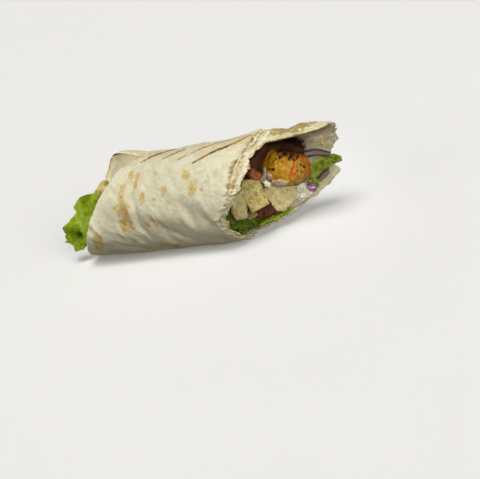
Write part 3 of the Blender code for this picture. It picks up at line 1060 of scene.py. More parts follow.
@dataclass(frozen=True)
class ToastMarks:
    """Where the bread is browned.

    A spot is its place along the roll, its angle round it, half its length and width, the
    slant of its long side in degrees, and how brown it is.  A grill line is its corners, each
    a place and an angle, half its width, and its strength.  Round the far side, from shown_to
    over to top_again, spots are drawn by a rule, and so are those of the inner turn and of
    the inside; counts says how many of each.
    """

    spots: tuple = (
        (-28.2, 125, 3.7, 1.3, -109, 0.95), (-24.2, 134, 6.4, 1.1, -80, 0.9),
        (-33.4, 143, 5.2, 1.6, -80, 0.95), (-19.0, 154, 3.0, 1.5, -70, 0.9),
        (-4.3, 148, 2.6, 2.2, -92, 0.75), (10.8, 136, 2.9, 2.2, -100, 0.85),
        (14.9, 152, 4.0, 2.5, -75, 1.0), (-32.8, 165, 5.6, 3.7, -81, 0.9),
        (-34.3, 182, 4.8, 4.1, -68, 1.0), (-33.4, 174, 3.5, 2.6, -75, 0.6),
        (-20.4, 185, 1.8, 1.8, 0, 0.9), (-15.1, 178, 2.5, 0.9, -99, 0.9),
        (-60.2, 202, 8.2, 2.8, -60, 0.95),
        (-38.1, 159, 2.0, 0.7, -37, 0.75), (-34.7, 205, 1.7, 1.4, 0, 0.8),
        (-19.0, 220, 4.8, 2.4, -57, 0.9), (-13.2, 229, 5.0, 2.4, -56, 0.9),
        (-32.1, 224, 2.7, 2.0, 0, 0.7), (-11.3, 127, 3.1, 1.5, -107, 0.5),
        (-36.9, 104, 3.0, 2.8, 0, 0.65), (-31.1, 92, 3.4, 2.4, 0, 0.75),
        (-60.0, 178, 1.8, 1.6, 0, 0.6), (21.4, 154, 1.3, 1.2, 0, 0.6),
        (-10.9, 157, 0.9, 0.8, 0, 0.6), (-1.0, 163, 1.0, 1.4, 0, 0.5))
    grills: tuple = (
        (((14, 122), (21, 114), (26, 109.5), (32, 104), (38, 99), (45, 91)), 1.5, 1.0),
        (((9, 107), (18, 97), (28, 86), (37, 78)), 1.0, 0.9), (((-9, 107), (2, 94)), 1.2, 0.9),
        (((-22, 99), (-15, 91), (-8, 84)), 1.7, 1.0), (((-3, 84), (8, 70)), 1.3, 0.7),
        (((24, 84), (36, 71)), 1.3, 0.5), (((2, 114), (7, 109)), 0.7, 0.8),
        (((-26, 106), (-20, 99)), 1.2, 0.6),
        (((-23, 112), (-23, 99)), 0.7, 0.4), (((-40, 70), (-24, 48)), 1.0, 0.8),
        (((-22, 56), (-2, 28)), 1.1, 0.9), (((-2, 52), (14, 30)), 0.9, 0.8),
        (((12, 56), (34, 26)), 1.2, 0.9), (((32, 56), (50, 30)), 1.0, 0.75),
        (((-58, 62), (-40, 36)), 0.9, 0.7))
    inner_spots: tuple = ((66.9, 34, 1.9, 1.4, 20, 0.95), (72.9, 30, 2.3, 1.3, -20, 1.0),
                          (60.0, 44, 1.4, 1.2, 0, 0.6), (79.0, 20, 1.6, 1.2, 0, 0.6))
    shown_to: float = 236.0
    top_again: float = 430.0
    counts: tuple[int, int, int] = (46, 70, 40)
    along_range: tuple[float, float] = (-85.0, 80.0)
    slant_range: tuple[float, float] = (-110.0, -50.0)

    def all_spots(self) -> tuple[list[tuple], list[tuple], list[tuple]]:
        """The listed spots and the drawn ones.

        Returns:
            Those of the outer turn's outside, of the inner turn's outside, and of the inside.
        """
        far, inner_turn, lining = self.counts
        return (list(self.spots) + self.drawn_spots(Seed.FAR_SPOTS, self.shown_to,
                                                    self.top_again, far),
                self.drawn_spots(Seed.INNER_TURN_SPOTS, 0.0, 360.0, inner_turn),
                list(self.inner_spots) + self.drawn_spots(Seed.LINING_SPOTS, 60.0, 360.0, lining))

    def drawn_spots(self, seed: int, low: float, high: float, count: int) -> list[tuple]:
        """Spots for a side that the list doesn't cover, drawn from a seeded rule.

        Args:
            seed: Names the draw.
            low: The lowest angle round the roll.
            high: The highest angle.
            count: How many spots there are.

        Returns:
            The spots.
        """
        draw = np.random.default_rng(seed)
        size = 0.8 + 2.6 * draw.random(count) ** 1.6
        return [(x, a, s * k, s, t, d) for x, a, s, k, t, d in zip(
            draw.uniform(*self.along_range, count), draw.uniform(low, high, count), size,
            draw.uniform(1.0, 1.9, count), draw.uniform(*self.slant_range, count),
            draw.uniform(0.5, 1.0, count))]

    def spot_field(self, spots: list[tuple], at: SheetPoints, rough: Array) -> Array:
        """How toasted each point is: 1 inside a spot, fading over its ragged oval edge.

        Args:
            spots: The spots.
            at: The points.
            rough: Noise that frays the spots' edges.

        Returns:
            The strongest spot's value at each point.
        """
        toasted = np.zeros(at.along.shape)
        for place, middle, half_long, half_short, slant, brown in spots:
            ahead = at.along - place
            aside = np.radians(wrapped(at.angle - middle)) * ROLL.arc
            c, s = math.cos(math.radians(slant)), math.sin(math.radians(slant))
            reach = np.hypot((ahead * c + aside * s) / (half_long + 0.4),
                             (aside * c - ahead * s) / (half_short + 0.4))
            value = brown * (1.0 - smooth(reach + 0.50 * rough, 0.30, 1.50))
            toasted = np.maximum(toasted, value)
        return toasted

    def grill_field(self, at: SheetPoints, rough: Array) -> Array:
        """How strongly the grill's bars marked each point: 1 on a line, frayed and tapered.

        Args:
            at: The points.
            rough: Noise that frays the lines.

        Returns:
            The strongest line's value at each point.
        """
        value = np.zeros(at.along.shape)
        for line, half_width, strength in self.grills:
            off, share = round_distance(at, line)
            taper = 0.45 + 0.55 * np.sin(math.pi * np.clip(share, 0.03, 0.97)) ** 0.6
            edge = off / (half_width * taper) + 0.45 * rough
            value = np.maximum(value, strength * (1.0 - smooth(edge, 0.3, 1.3)))
        return value


@dataclass(frozen=True)
class Sheet:
    """The sheet of bread, wound from its free edge over the top, under the roll and round again.

    Its edges along the roll are (winding angle, place) pairs, the same as the solid's.  A
    crease is a line of (place, angle round the roll) pairs, half its width and its height,
    minus for a dent.  Its patterns are octaves, each a strength, a size and a shift.
    """

    rim_edge: tuple = ((0, -28), (20, -35), (50, -43), (90, -58), (116, -66), (130, -71),
                       (142, -75), (160, -78), (180, -79.5), (225, -83), (270, -86),
                       (300, -84.5), (312, -80), (330, -71), (341, -65), (352, -56), (358, -46),
                       (364, -32), (380, -33.5), (400, -38), (430, -45), (560, -34), (705, -24))
    cut_edge: tuple = ((0, 49), (17, 46.5), (38, 45), (47, 42), (54, 40), (70, 38.9), (92, 36),
                       (102, 32), (111, 27.4), (130, 28.5), (198, 29.5), (210, 36), (223, 46),
                       (239, 58), (261, 74), (272, 76.6), (290, 73), (300, 78), (311, 81.4),
                       (331, 85), (345, 86.5), (357, 88.5), (365, 87), (370, 86),
                       (374.5, 83), (378, 78), (380.5, 66), (383, 56.5), (388, 54),
                       (395, 52.0), (402, 50.2), (408, 48.6), (422, 48.6),
                       (430, 45.6), (438, 43.8), (452, 38.1), (466, 33), (480, 28.5),
                       (510, 29.5), (550, 30.5), (570, 36.5), (583, 44), (600, 56), (631, 74),
                       (655, 74), (680, 73), (692, 70), (698, 62), (705, 50))
    creases: tuple = (
        (((-27, 150), (-25, 160), (-25, 173), (-26, 187), (-22, 200)), 2.2, -1.5),
        (((-31, 152), (-29, 165), (-30, 185)), 2.4, 0.9), (((-42, 177), (-39, 196)), 2.0, 0.6),
        (((7, 166), (12, 201)), 2.6, -0.9), (((3, 166), (7, 200)), 2.2, 0.7),
        (((-12, 184), (-10, 214)), 2.2, -0.8), (((-60, 172), (-57, 180), (-55, 190)), 1.3, 1.1),
        (((-63, 174), (-59, 192)), 1.8, -0.5), (((-46, 130), (-36, 152)), 1.6, -0.6),
        (((-8, 196), (6, 226)), 2.4, -0.8), (((-48, 205), (-30, 226)), 2.2, -0.8),
        (((18, 160), (24, 196)), 2.6, 0.7), (((-20, 135), (-14, 150)), 1.4, -0.6),
        (((-52, 112), (-44, 128), (-38, 140)), 1.2, 0.5), (((-18, 206), (-6, 232)), 1.8, 0.6),
        (((-66, 190), (-60, 204), (-50, 214)), 1.5, -0.6), (((-2, 130), (4, 150)), 1.5, -0.5),
        (((26, 132), (30, 150)), 1.4, -0.45), (((-34, 196), (-30, 214)), 1.5, 0.6))
    marks: ToastMarks = ToastMarks()
    ragged: float = 0.7
    tears: Octaves = ((1.2, 5.0, 0.0), (1.1, 2.1, 40.0), (0.5, 0.9, 80.0))
    swells: Octaves = ((0.50, 17.0, 0.0), (0.34, 8.0, 60.0))
    crease_share: float = 0.75
    first_turn_end: float = 376.0
    cavity_shade_start: float = 345.0
    arc_steps: int = 6
    pinch_reach: float = 3.5

    def edge(self, outline: tuple, winding: Array) -> Array:
        """An edge's place along the roll, averaged over a few degrees, so that it has no corners."""
        known = np.array(outline, dtype=float)
        spread = np.linspace(-3.0, 3.0, 7)
        return np.mean([np.interp(winding + o, known[:, 0], known[:, 1]) for o in spread], axis=0)

    def rim(self, winding: Array) -> Array:
        """The open end's rim: its outline, a little ragged."""
        rough = Noise(Seed.RIM).layers(arc_line(winding), 4.0, 2)
        return self.edge(self.rim_edge, winding) + 0.5 * rough

    def torn(self, winding: Array) -> Array:
        """The torn edge: the cut's outline with even waves and tears of three sizes."""
        waves = self.ragged * (np.sin(0.29 * winding) + np.sin(0.47 * winding + 1.0))
        tears = Noise(Seed.TEARS).octaves(arc_line(winding), self.tears)
        return self.edge(self.cut_edge, winding) + waves + tears

    def relief(self, at: SheetPoints) -> Array:
        """How far the sheet stands out: swells, slanted wrinkles and ridges, puckers and creases.

        Args:
            at: The points.

        Returns:
            The offset outwards.
        """
        flat, swell = at.flat(), Noise(Seed.SWELLS)
        slanted = np.stack([at.along * 0.80 - at.arc * 0.60,
                            (at.along * 0.60 + at.arc * 0.80) / 3.6,
                            np.zeros_like(at.arc)], axis=-1)
        wrinkled = smooth(swell.at(flat + 90.0, 22.0), -0.25, 0.45)
        ridged = smooth(swell.at(flat + 150.0, 14.0), -0.2, 0.4)
        ridge = 1.0 - np.abs(Noise(Seed.RIDGES).at(slanted * (1.0, 1.6, 1.0) + 33.0, 9.0)) * 3.2
        return (swell.octaves(flat, self.swells)
                + 0.20 * wrinkled * Noise(Seed.WRINKLES).layers(slanted, 4.2, 2)
                + 0.25 * ridged * np.clip(ridge, 0.0, None) ** 2
                + 0.12 * Noise(Seed.PUCKERS).at(flat, 2.1) + 0.05 * Noise(Seed.PORES).at(flat, 1.0)
                + self.crinkles(at) + self.creased(at))

    def crinkles(self, at: SheetPoints) -> Array:
        """Ridges that run along the roll, over the inner turn near the cut and over the flap.

        Args:
            at: The points.

        Returns:
            The offset outwards.
        """
        band = plateau(at.winding, 366.0, 376.0, 450.0, 462.0)
        band = band * plateau(at.along, 30.0, 40.0, 54.0, 60.0)
        long = at.flat(1.0 / 8.0)
        inner = 0.95 * Noise(Seed.BAND).at(long, 3.1) + 0.45 * Noise(Seed.BAND_FINE).at(long, 1.3)
        flap = smooth(at.along, 46.0, 54.0) * at.near(-2.0, 16.0, 34.0)
        short = at.flat(1.0 / 3.0)
        outer = 0.75 * Noise(Seed.FLAP).at(short, 3.4) + 0.35 * Noise(Seed.FLAP_FINE).at(short, 1.5)
        return band * inner + flap * outer

    def creased(self, at: SheetPoints) -> Array:
        """The named creases of the outer turn: height * exp(-(off / width)^2), tapered.

        Args:
            at: The points.

        Returns:
            The offset outwards.
        """
        total = np.zeros(at.along.shape)
        for line, width, height in self.creases:
            off, share = round_distance(at, line)
            fade = np.sin(math.pi * np.clip(share, 0.02, 0.98)) ** 0.5
            total += self.crease_share * height * fade * np.exp(-(off / width) ** 2)
        return np.where(at.winding < self.first_turn_end, total, 0.0)

    def flare(self, at: SheetPoints, to_cut: Array) -> Array:
        """How the torn edge curls in and out over its last few millimetres.

        Args:
            at: The points.
            to_cut: Their distance to the torn edge.

        Returns:
            The offset outwards.
        """
        flat = at.flat(0.3)
        near = 1.0 - smooth(to_cut, 0.0, 7.0)
        curl = Noise(Seed.CURL).at(flat, 5.0) + 0.7 * Noise(Seed.CURL_MIDDLE).at(flat, 2.3)
        return near * near * (curl + 0.35 * Noise(Seed.CURL_FINE).at(flat, 1.1))

    def build(self, name: str, start: float, end: float, columns: int, rows: int,
              material: bpy.types.Material) -> None:
        """A closed length of the sheet between two winding angles.

        Each winding angle has a closed loop of points: over the outer face from rim to cut,
        round the torn edge, back over the inner face and round the rim.

        Args:
            name: The piece's name.
            start: Its first winding angle.
            end: Its last winding angle.
            columns: How many loops it has.
            rows: How many points cross each face.
            material: The bread's finish.
        """
        winding = np.linspace(start, end, columns)[:, None]
        even = np.linspace(0.0, 1.0, rows)
        spread = 0.45 * even + 0.55 * (0.5 - 0.5 * np.cos(math.pi * even))
        turn = (np.arange(self.arc_steps) + 0.5) / self.arc_steps * math.pi
        zeros, ones = np.zeros(rows), np.ones(rows)
        share = np.concatenate([spread, np.ones(self.arc_steps), spread[::-1],
                                np.zeros(self.arc_steps)])
        over = np.concatenate([zeros, np.sin(turn), zeros, -np.sin(turn)])
        side = np.concatenate([ones, np.cos(turn), -ones, -np.cos(turn)])
        half_arc = self.arc_steps // 2
        share, over, side = (np.roll(v, half_arc)[None, :] for v in (share, over, side))

        rim = self.rim(winding)
        length = self.torn(winding) - rim
        to_cut, to_rim = (1.0 - share) * length, share * length
        to_end = end - winding if start == 0.0 else np.minimum(winding - start, end - winding)
        ends = smooth(to_end, -0.5, 2.0) * smooth(winding, -2.0, 4.0)
        pinch = 0.42 + 0.58 * smooth(np.minimum(to_cut, to_rim * 0.7), 0.0, self.pinch_reach)
        thick = ROLL.thickness * pinch * (0.25 + 0.75 * ends)
        along = rim + length * share + over * thick * 0.5
        at = SheetPoints(along, np.broadcast_to(winding, along.shape))
        depth = 0.5 * ROLL.thickness - 0.5 * side * thick
        inset = ROLL.pitch * winding / 360.0 + depth - self.relief(at) - self.flare(at, to_cut)
        floor = ROLL.pitch * np.floor(winding / 360.0) + depth
        points = ROLL.outline(along, at.angle, inset, floor)

        loops = grid_quads(columns, along.shape[1], close_columns=True)
        index = np.arange(along.size).reshape(along.shape)
        caps = np.concatenate([zip_quads(index[0])[:, ::-1], zip_quads(index[-1])])
        new_piece(name, points, [np.concatenate([loops, caps])], material, Slot.BREAD,
                  ("tortilla",), **self.paint(at, side, to_cut, to_rim))

    def paint(self, at: SheetPoints, side: Array, to_cut: Array,
              to_rim: Array) -> dict[str, Array]:
        """The marks that the bread's finish reads.

        Args:
            at: The points.
            side: 1 on the outer face and -1 on the inner one.
            to_cut: Distance to the torn edge.
            to_rim: Distance to the open end's rim.

        Returns:
            The marks toast, grill, rim, inside, tone and the cavity's painted shade.
        """
        flat = at.flat(level=side)
        rough = Noise(Seed.FRAY).layers(flat, 2.2, 3)
        outside, first_turn = side > 0.0, at.winding < self.first_turn_end
        outer, second, inner = (self.marks.spot_field(spots, at, rough)
                                for spots in self.marks.all_spots())
        streaks = Noise(Seed.STREAKS).layers(flat * (1.0, 0.22, 1.0), 2.0, 2)
        open_end = (1.0 - smooth(at.along, -64.0, -56.0)) * first_turn
        inner = np.maximum(inner, 0.55 * open_end * smooth(streaks, 0.05, 0.45))
        inner = np.maximum(inner, 0.95 * open_end
                           * (1.0 - smooth(to_rim + 0.5 * rough, 0.4, 1.9)))
        toast = np.where(outside, np.where(first_turn, outer, second), inner)
        grill = np.where(outside & first_turn, self.marks.grill_field(at, rough), 0.0)
        # The rim mark: dry edges of the cut, the open end and the free edge, with a painted highlight.
        open_rim = plateau(at.winding, 225.0, 250.0, 360.0, 372.0)
        rim = np.maximum(1.0 - smooth(to_cut, 0.0, 1.8),
                         0.9 * open_rim * (1.0 - smooth(to_rim, 0.0, 1.1)))
        free = np.where(at.winding < 20.0, 0.7 * (1.0 - smooth(at.arc, 0.0, 1.0)), 0.0)
        # Painted shade on the bread's inner face, deeper into the cavity.
        cavity_shaded = ~outside & (at.winding > self.cavity_shade_start)
        return {"toast": toast, "grill": grill, "rim": np.maximum(rim, free),
                "inside": np.broadcast_to(0.5 - 0.5 * side, at.arc.shape),
                "tone": self.tone(at, rough),
                "cavity_shade": self.cavity_shade(at, to_cut, rough) * cavity_shaded}

    def tone(self, at: SheetPoints, rough: Array) -> Array:
        """Where the bread is dry and yellow: along the roll's top and over the flap.

        Args:
            at: The points.
            rough: Noise that frays it.

        Returns:
            How yellow each point is, from 0 to 1.
        """
        top = 0.42 * at.near(8.0, 10.0, 40.0)
        flap = 1.15 * plateau(at.along, 47.0, 56.0, 74.0, 84.0) * at.near(-2.0, 12.0, 26.0)
        band = 0.50 * plateau(at.winding, 366.0, 376.0, 456.0, 470.0)
        band = band * (1.0 - smooth(at.along, 52.0, 58.0))
        level = np.maximum(np.maximum(top, flap), band)
        return np.clip(level * (1.0 + 0.9 * rough), 0.0, 1.0)

    def cavity_shade(self, at: SheetPoints, to_cut: Array, rough: Array) -> Array:
        """Painted shade: the inside of the bread darkened deeper into the cavity, over the shrimp.

        Args:
            at: The points.
            to_cut: Their distance to the torn edge.
            rough: Noise that frays it.

        Returns:
            How dark each point is, from 0 to 1.
        """
        height = smooth(np.sin(np.radians(at.angle)), 0.0, 0.35)
        depth = np.minimum(to_cut - 3.0, 67.0 - at.along) + 3.0 * rough
        return height * smooth(depth, 0.0, 9.0)


@dataclass(frozen=True)
class TornEdge:
    """Thin torn layers of the bread between the two turns' edges at the slanted cut.

    A layer is its share of the way from the outer turn's edge to the inner turn's, its reach
    along the roll, how far it curls out, and how brown it is.
    """

    sheet: Sheet
    layers: tuple = ((0.0, 2.4, 0.35, 0.40), (0.40, 2.2, 0.30, 0.22), (1.0, 2.6, 0.35, 0.05))
    tears: Octaves = ((1.6, 5.0, 0.0), (1.1, 2.0, 30.0), (0.5, 0.9, 70.0))
    ridges: Octaves = ((0.8, 3.2, 100.0), (0.35, 1.4, 130.0))
    start: float = 2.0
    end: float = 104.0
    furthest: float = 55.0
    columns: int = 700
    rows: int = 20
    thin: float = 0.45
    apart: float = 13.0

    def build(self, material: bpy.types.Material) -> None:
        """Makes one strip for each layer.

        A strip's free edge is torn in and out; its face is folded across by ridges, and
        curls outwards as (place across it)^1.5.

        Args:
            material: The torn bread's finish.
        """
        winding = np.linspace(self.start, self.end, self.columns)
        ends = smooth(winding - self.start, 0.0, 5.0) * smooth(self.end - winding, 0.0, 14.0)
        first = self.sheet.edge(self.sheet.cut_edge, winding)
        second = self.sheet.edge(self.sheet.cut_edge, winding + 360.0)
        second = np.minimum(second, self.furthest)
        out = np.linspace(0.0, 1.0, self.rows)[None, :]
        for number, (share, reach, curl_out, brown) in enumerate(self.layers):
            tears = Noise(Seed.TORN_LAYERS + number)
            line = arc_line(winding) + (0.0, self.apart * number, 0.0)
            length = (reach + tears.octaves(line, self.tears)) * ends
            root = first - 1.6 + (second - first - 0.6) * share
            along = root[:, None] + np.clip(length, 0.5, None)[:, None] * out
            at = SheetPoints(along, np.broadcast_to(winding[:, None], along.shape))
            ridges = tears.octaves(at.flat(1.0 / 5.0, self.apart * number), self.ridges)
            curl = (curl_out + 0.5 * ridges) * out ** 1.5 * ends[:, None]
            level = ROLL.pitch * (at.winding / 360.0 + 0.12 + 0.80 * share)
            inner_turn = 360.0 if share > 0.0 else 0.0
            folds = self.sheet.relief(SheetPoints(along, at.winding + inner_turn))
            middle = ROLL.outline(along, at.angle, level + 0.3 - curl - folds, 2.0)
            thick = np.broadcast_to(self.thin * (1.3 - 0.9 * out), along.shape)
            points, faces = slab_mesh(middle, thick)
            # Browner where the ridges sink and paler where they rise: painted shade and highlight.
            # Browner towards the free edge and in noisy patches: dry toasting.
            browned = brown - 0.45 * ridges + 0.6 * tears.at(line + 160.0, 3.2)[:, None]
            browned = browned + (0.1 + 0.7 * brown) * out
            new_piece(f"torn_layer_{number + 1}", points, faces, material, Slot.BREAD,
                      toast=twice(browned))


# ---------------------------------------- the filling

@dataclass(frozen=True)
class Core:
    """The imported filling, which fills the roll and ends in two bumpy faces."""

    mouth: float = 49.1
    mouth_slope: tuple[float, float] = (0.773, 0.460)
    sunk: float = 9.0
    hollow: float = 6.0
    open_end: float = -58.0
    open_slope: float = 0.42
    open_hollow: float = 15.0
    lump: float = 1.6
    chunk: float = 4.6
    clearance: float = 0.3
    around: int = 220
    cap_rings: int = 44
    side_rings: int = 12

    def lumps(self, across: Array, height: Array) -> Array:
        """Gentle bumps of the end faces, as a sum of sines."""
        return self.lump * (np.sin(0.42 * across + 0.6) * np.sin(0.37 * height)
                            + 0.6 * np.sin(0.8 * across - 0.5 * height))

    def mouth_place(self, points: Array) -> Array:
        """Where the core ends under the slanted cut: a slanted plane, deeper under the roll's top.

        Args:
            points: Places on the end face, of which y and z count.

        Returns:
            The face's place along the roll.
        """
        across, height = points[..., 1], points[..., 2]
        deeper = self.sunk + self.hollow * smooth(height, -2.0, 18.0)
        return (self.mouth + self.mouth_slope[0] * across + self.mouth_slope[1] * height
                - deeper + self.lumps(across, height))

    def open_place(self, points: Array) -> Array:
        """Where the core ends at the roll's open end: a slanted plane, further in at the top.

        Args:
            points: Places on the end face, of which y and z count.

        Returns:
            The face's place along the roll.
        """
        across, height = points[..., 1], points[..., 2]
        sunk = self.open_hollow * smooth(height, 8.0, 24.0)
        return self.open_end + self.open_slope * height + sunk + self.lumps(across, height)

    def chunks(self, points: Array) -> tuple[Array, Array]:
        """Cells round scattered seeds: how far out each point bulges, and its cell's kind.

        Args:
            points: Places in the core.

        Returns:
            The bulge, 1 at a seed and 0 between cells, and a kind from 0 to 1.
        """
        draw = np.random.default_rng(Seed.CHUNKS)
        place = points / self.chunk
        base = np.floor(place).astype(int)
        jitter = draw.random((16, 16, 16, 3))
        kinds = draw.random((16, 16, 16))
        nearest, second = np.full(base.shape[:-1], 9.0), np.full(base.shape[:-1], 9.0)
        kind = np.zeros(base.shape[:-1])
        for step in product((-1, 0, 1), repeat=3):
            cell = base + np.array(step)
            key = tuple(np.mod(cell[..., k], 16) for k in range(3))
            off = np.linalg.norm(cell + jitter[key] - place, axis=-1)
            closer = off < nearest
            second = np.where(closer, nearest, np.minimum(second, off))
            kind = np.where(closer, kinds[key], kind)
            nearest = np.where(closer, off, nearest)
        return smooth(second - nearest, 0.0, 0.35), kind

    def build(self, material: bpy.types.Material) -> None:
        """Makes the core from rings: one bumpy end, plain sides, the other bumpy end.

        Args:
            material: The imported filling's finish.
        """
        angle = np.linspace(0.0, 360.0, self.around, endpoint=False)
        floor = ROLL.pitch + ROLL.thickness + ROLL.gap + self.clearance
        inset = ROLL.core_inset(angle) + self.clearance
        edge = ROLL.outline(np.zeros_like(angle), angle, inset, floor)
        shares = np.sin(np.linspace(0.03, 1.0, self.cap_rings) * math.pi / 2)
        faces_of_end = []
        for place in (self.open_place, self.mouth_place):
            rings = edge[None] * np.stack([np.ones_like(shares), shares, shares], -1)[:, None, :]
            rings[..., 0] = place(rings)
            faces_of_end.append(rings)
        opened, mouth = faces_of_end
        sides = []
        for share in np.linspace(0.0, 1.0, self.side_rings + 2)[1:-1]:
            along = opened[-1, :, 0] * (1.0 - share) + mouth[-1, :, 0] * share
            sides.append(ROLL.outline(along, angle, inset, floor))
        rings = np.concatenate([opened, np.array(sides), mouth[::-1]])
        bulge, kind = self.chunks(rings)
        inner = np.concatenate([shares, np.ones(self.side_rings), shares[::-1]])[:, None]
        free = 1.0 - smooth(inner, 0.90, 1.0)
        sign = np.concatenate([-np.ones(self.cap_rings), np.zeros(self.side_rings),
                               np.ones(self.cap_rings)])[:, None]
        rough = Noise(Seed.CORE).layers(rings, 3.0, 3)
        # High on the cut's face: pushed out less and darkened, dark filling and painted shade.
        deep = smooth(rings[..., 2], -4.0, 8.0) * (sign > 0) * np.ones(rings.shape[:2])
        rings[..., 0] += sign * free * (1.0 - 0.85 * deep) * (1.7 * bulge + 0.8 * rough - 1.0)
        points, faces = tube_mesh(rings)
        at_ends = [0.5, 0.5]
        new_piece("packed_filling", points, faces, material, Slot.FILLING, ("filling",),
                  kind=np.concatenate([kind.ravel(), at_ends]),
                  depth=np.concatenate([(0.92 * deep).ravel(), at_ends]))


@dataclass(frozen=True)
class Shrimp:
    """A curled shrimp seen from its back: a long oval bent backwards, ringed by segments.

    A fleck is its place along the shrimp, its height on it, and its size.
    """

    centre: Point = (54.4, 9.6, 5.5)
    half: Point = (14.1, 9.9, 8.4)
    curl: float = 0.030
    segments: float = 5.0
    groove: float = 0.45
    lean: float = -4.0
    forward: float = 2.0
    stations: int = 190
    around: int = 230
    bumps: Octaves = ((0.80, 5.0, 0.0), (0.45, 2.2, 30.0), (0.20, 0.9, 60.0))
    flecks: tuple = ((-7.4, -1.6, 0.8), (-9.4, -1.3, 0.6), (9.4, 1.0, 0.9), (6.0, -1.3, 0.6),
                     (7.4, 2.1, 0.55), (8.0, -1.9, 0.6), (-1.9, 6.3, 1.0), (1.0, 5.4, 1.0),
                     (3.4, 4.6, 0.8), (5.1, 6.1, 0.7), (-4.2, 5.1, 0.7), (0.0, 4.2, 0.5),
                     (2.2, 6.8, 1.1), (4.5, -3.7, 0.4), (-6.2, 4.2, 0.5), (9.8, -2.9, 0.4),
                     (-3.0, 3.0, 0.3), (-1.2, -2.6, 0.25), (7.8, 4.0, 0.4), (6.8, -4.6, 0.35))

    def build(self, material: bpy.types.Material) -> None:
        """Makes the shrimp: rings of girth (1-|s|^2.4)^0.5, bent by curl * across^2, with relief.

        Args:
            material: The shrimp's finish.
        """
        across, up, out = ROLL.facing(self.lean)
        station = np.cos(np.linspace(math.pi, 0.0, self.stations + 2)[1:-1])
        turn = np.linspace(0.0, 2.0 * math.pi, self.around, endpoint=False)
        girth = (1.0 - np.abs(station) ** 2.4) ** 0.5 * (1.0 - 0.06 * station)
        groove = self.groove * (0.5 + 0.5 * np.cos(station * math.pi * self.segments)) ** 3
        rise = np.outer(girth * self.half[1] - groove, np.cos(turn))
        towards = np.outer(girth * self.half[2] - groove, np.sin(turn))
        sideways = np.outer(station * self.half[0], np.ones(self.around))
        towards = towards - self.curl * sideways ** 2 + self.forward
        rings = (np.array(self.centre) + sideways[..., None] * across + rise[..., None] * up
                 + towards[..., None] * out)
        ray = unit(rings - np.array(self.centre))
        bumps = Noise(Seed.SHRIMP)
        relief = bumps.octaves(rings, self.bumps)
        seam = np.exp(-((sideways - 3.4 - 0.10 * rise) / 0.9) ** 2) * smooth(rise, -8.0, -3.0)
        crust = smooth(rise + 1.2 * bumps.at(rings + 15.0, 3.0), 4.5, 6.5)
        shelf = self.flesh(sideways, rise, bumps.at(rings, 2.0))
        relief += 0.5 * shelf - 0.7 * seam + 0.5 * crust
        rings = rings + ray * relief[..., None] * girth[:, None, None] ** 0.3
        points, faces = tube_mesh(rings)
        frayed = bumps.at(rings + 90.0, 1.2)
        red = np.exp(-((sideways - 3.4 - 0.10 * rise) / 1.9) ** 2) * smooth(rise, -7.5, -3.0)
        red = np.maximum(red * smooth(-rise, -6.5, 1.0), smooth(sideways, 10.0, 12.4))
        red = np.maximum(red, 0.75 * smooth(rise, 3.0, 6.0) * smooth(sideways, -5.0, 1.0))
        # Dark over the top: char and the flap's painted shadow; darker low on the right; pepper flecks.
        char = 0.85 * smooth(rise + 1.8 * frayed, 4.4, 8.0) * smooth(sideways, -9.5, -5.0)
        char = np.maximum(char, 0.55 * smooth(-rise + frayed, 5.5, 8.5)
                          * smooth(sideways, 2.0, 6.0))
        for place, height, size in self.flecks:
            off = np.hypot((sideways - place) * 0.8, rise - height) / size
            off = off + 0.8 * frayed + 0.7 * bumps.at(rings + 120.0, 0.6)
            char = np.maximum(char, 1.25 * (1.0 - smooth(off, 0.4, 1.6)) * (towards > 0.0))
        new_piece("shrimp_body", points, faces, material, Slot.SHRIMP, ("shrimp",),
                  red=padded(red), char=padded(char), flesh=padded(shelf))

    def flesh(self, sideways: Array, rise: Array, frayed: Array) -> Array:
        """Where the pale flesh shows: a flap low on the left, and the belly's lower left.

        Args:
            sideways: Place along the shrimp.
            rise: Height on it.
            frayed: Noise that frays the patch.

        Returns:
            1 inside the flap, fading to 0 round it.
        """
        flap = np.hypot((sideways + 3.6) / 4.8, (rise + 8.6) / 1.9)
        corner = np.hypot((sideways + 10.4) / 2.8, (rise + 5.6) / 2.6)
        nearest = np.minimum(flap, corner) + 0.25 * frayed
        return 1.0 - smooth(nearest, 0.75, 1.25)


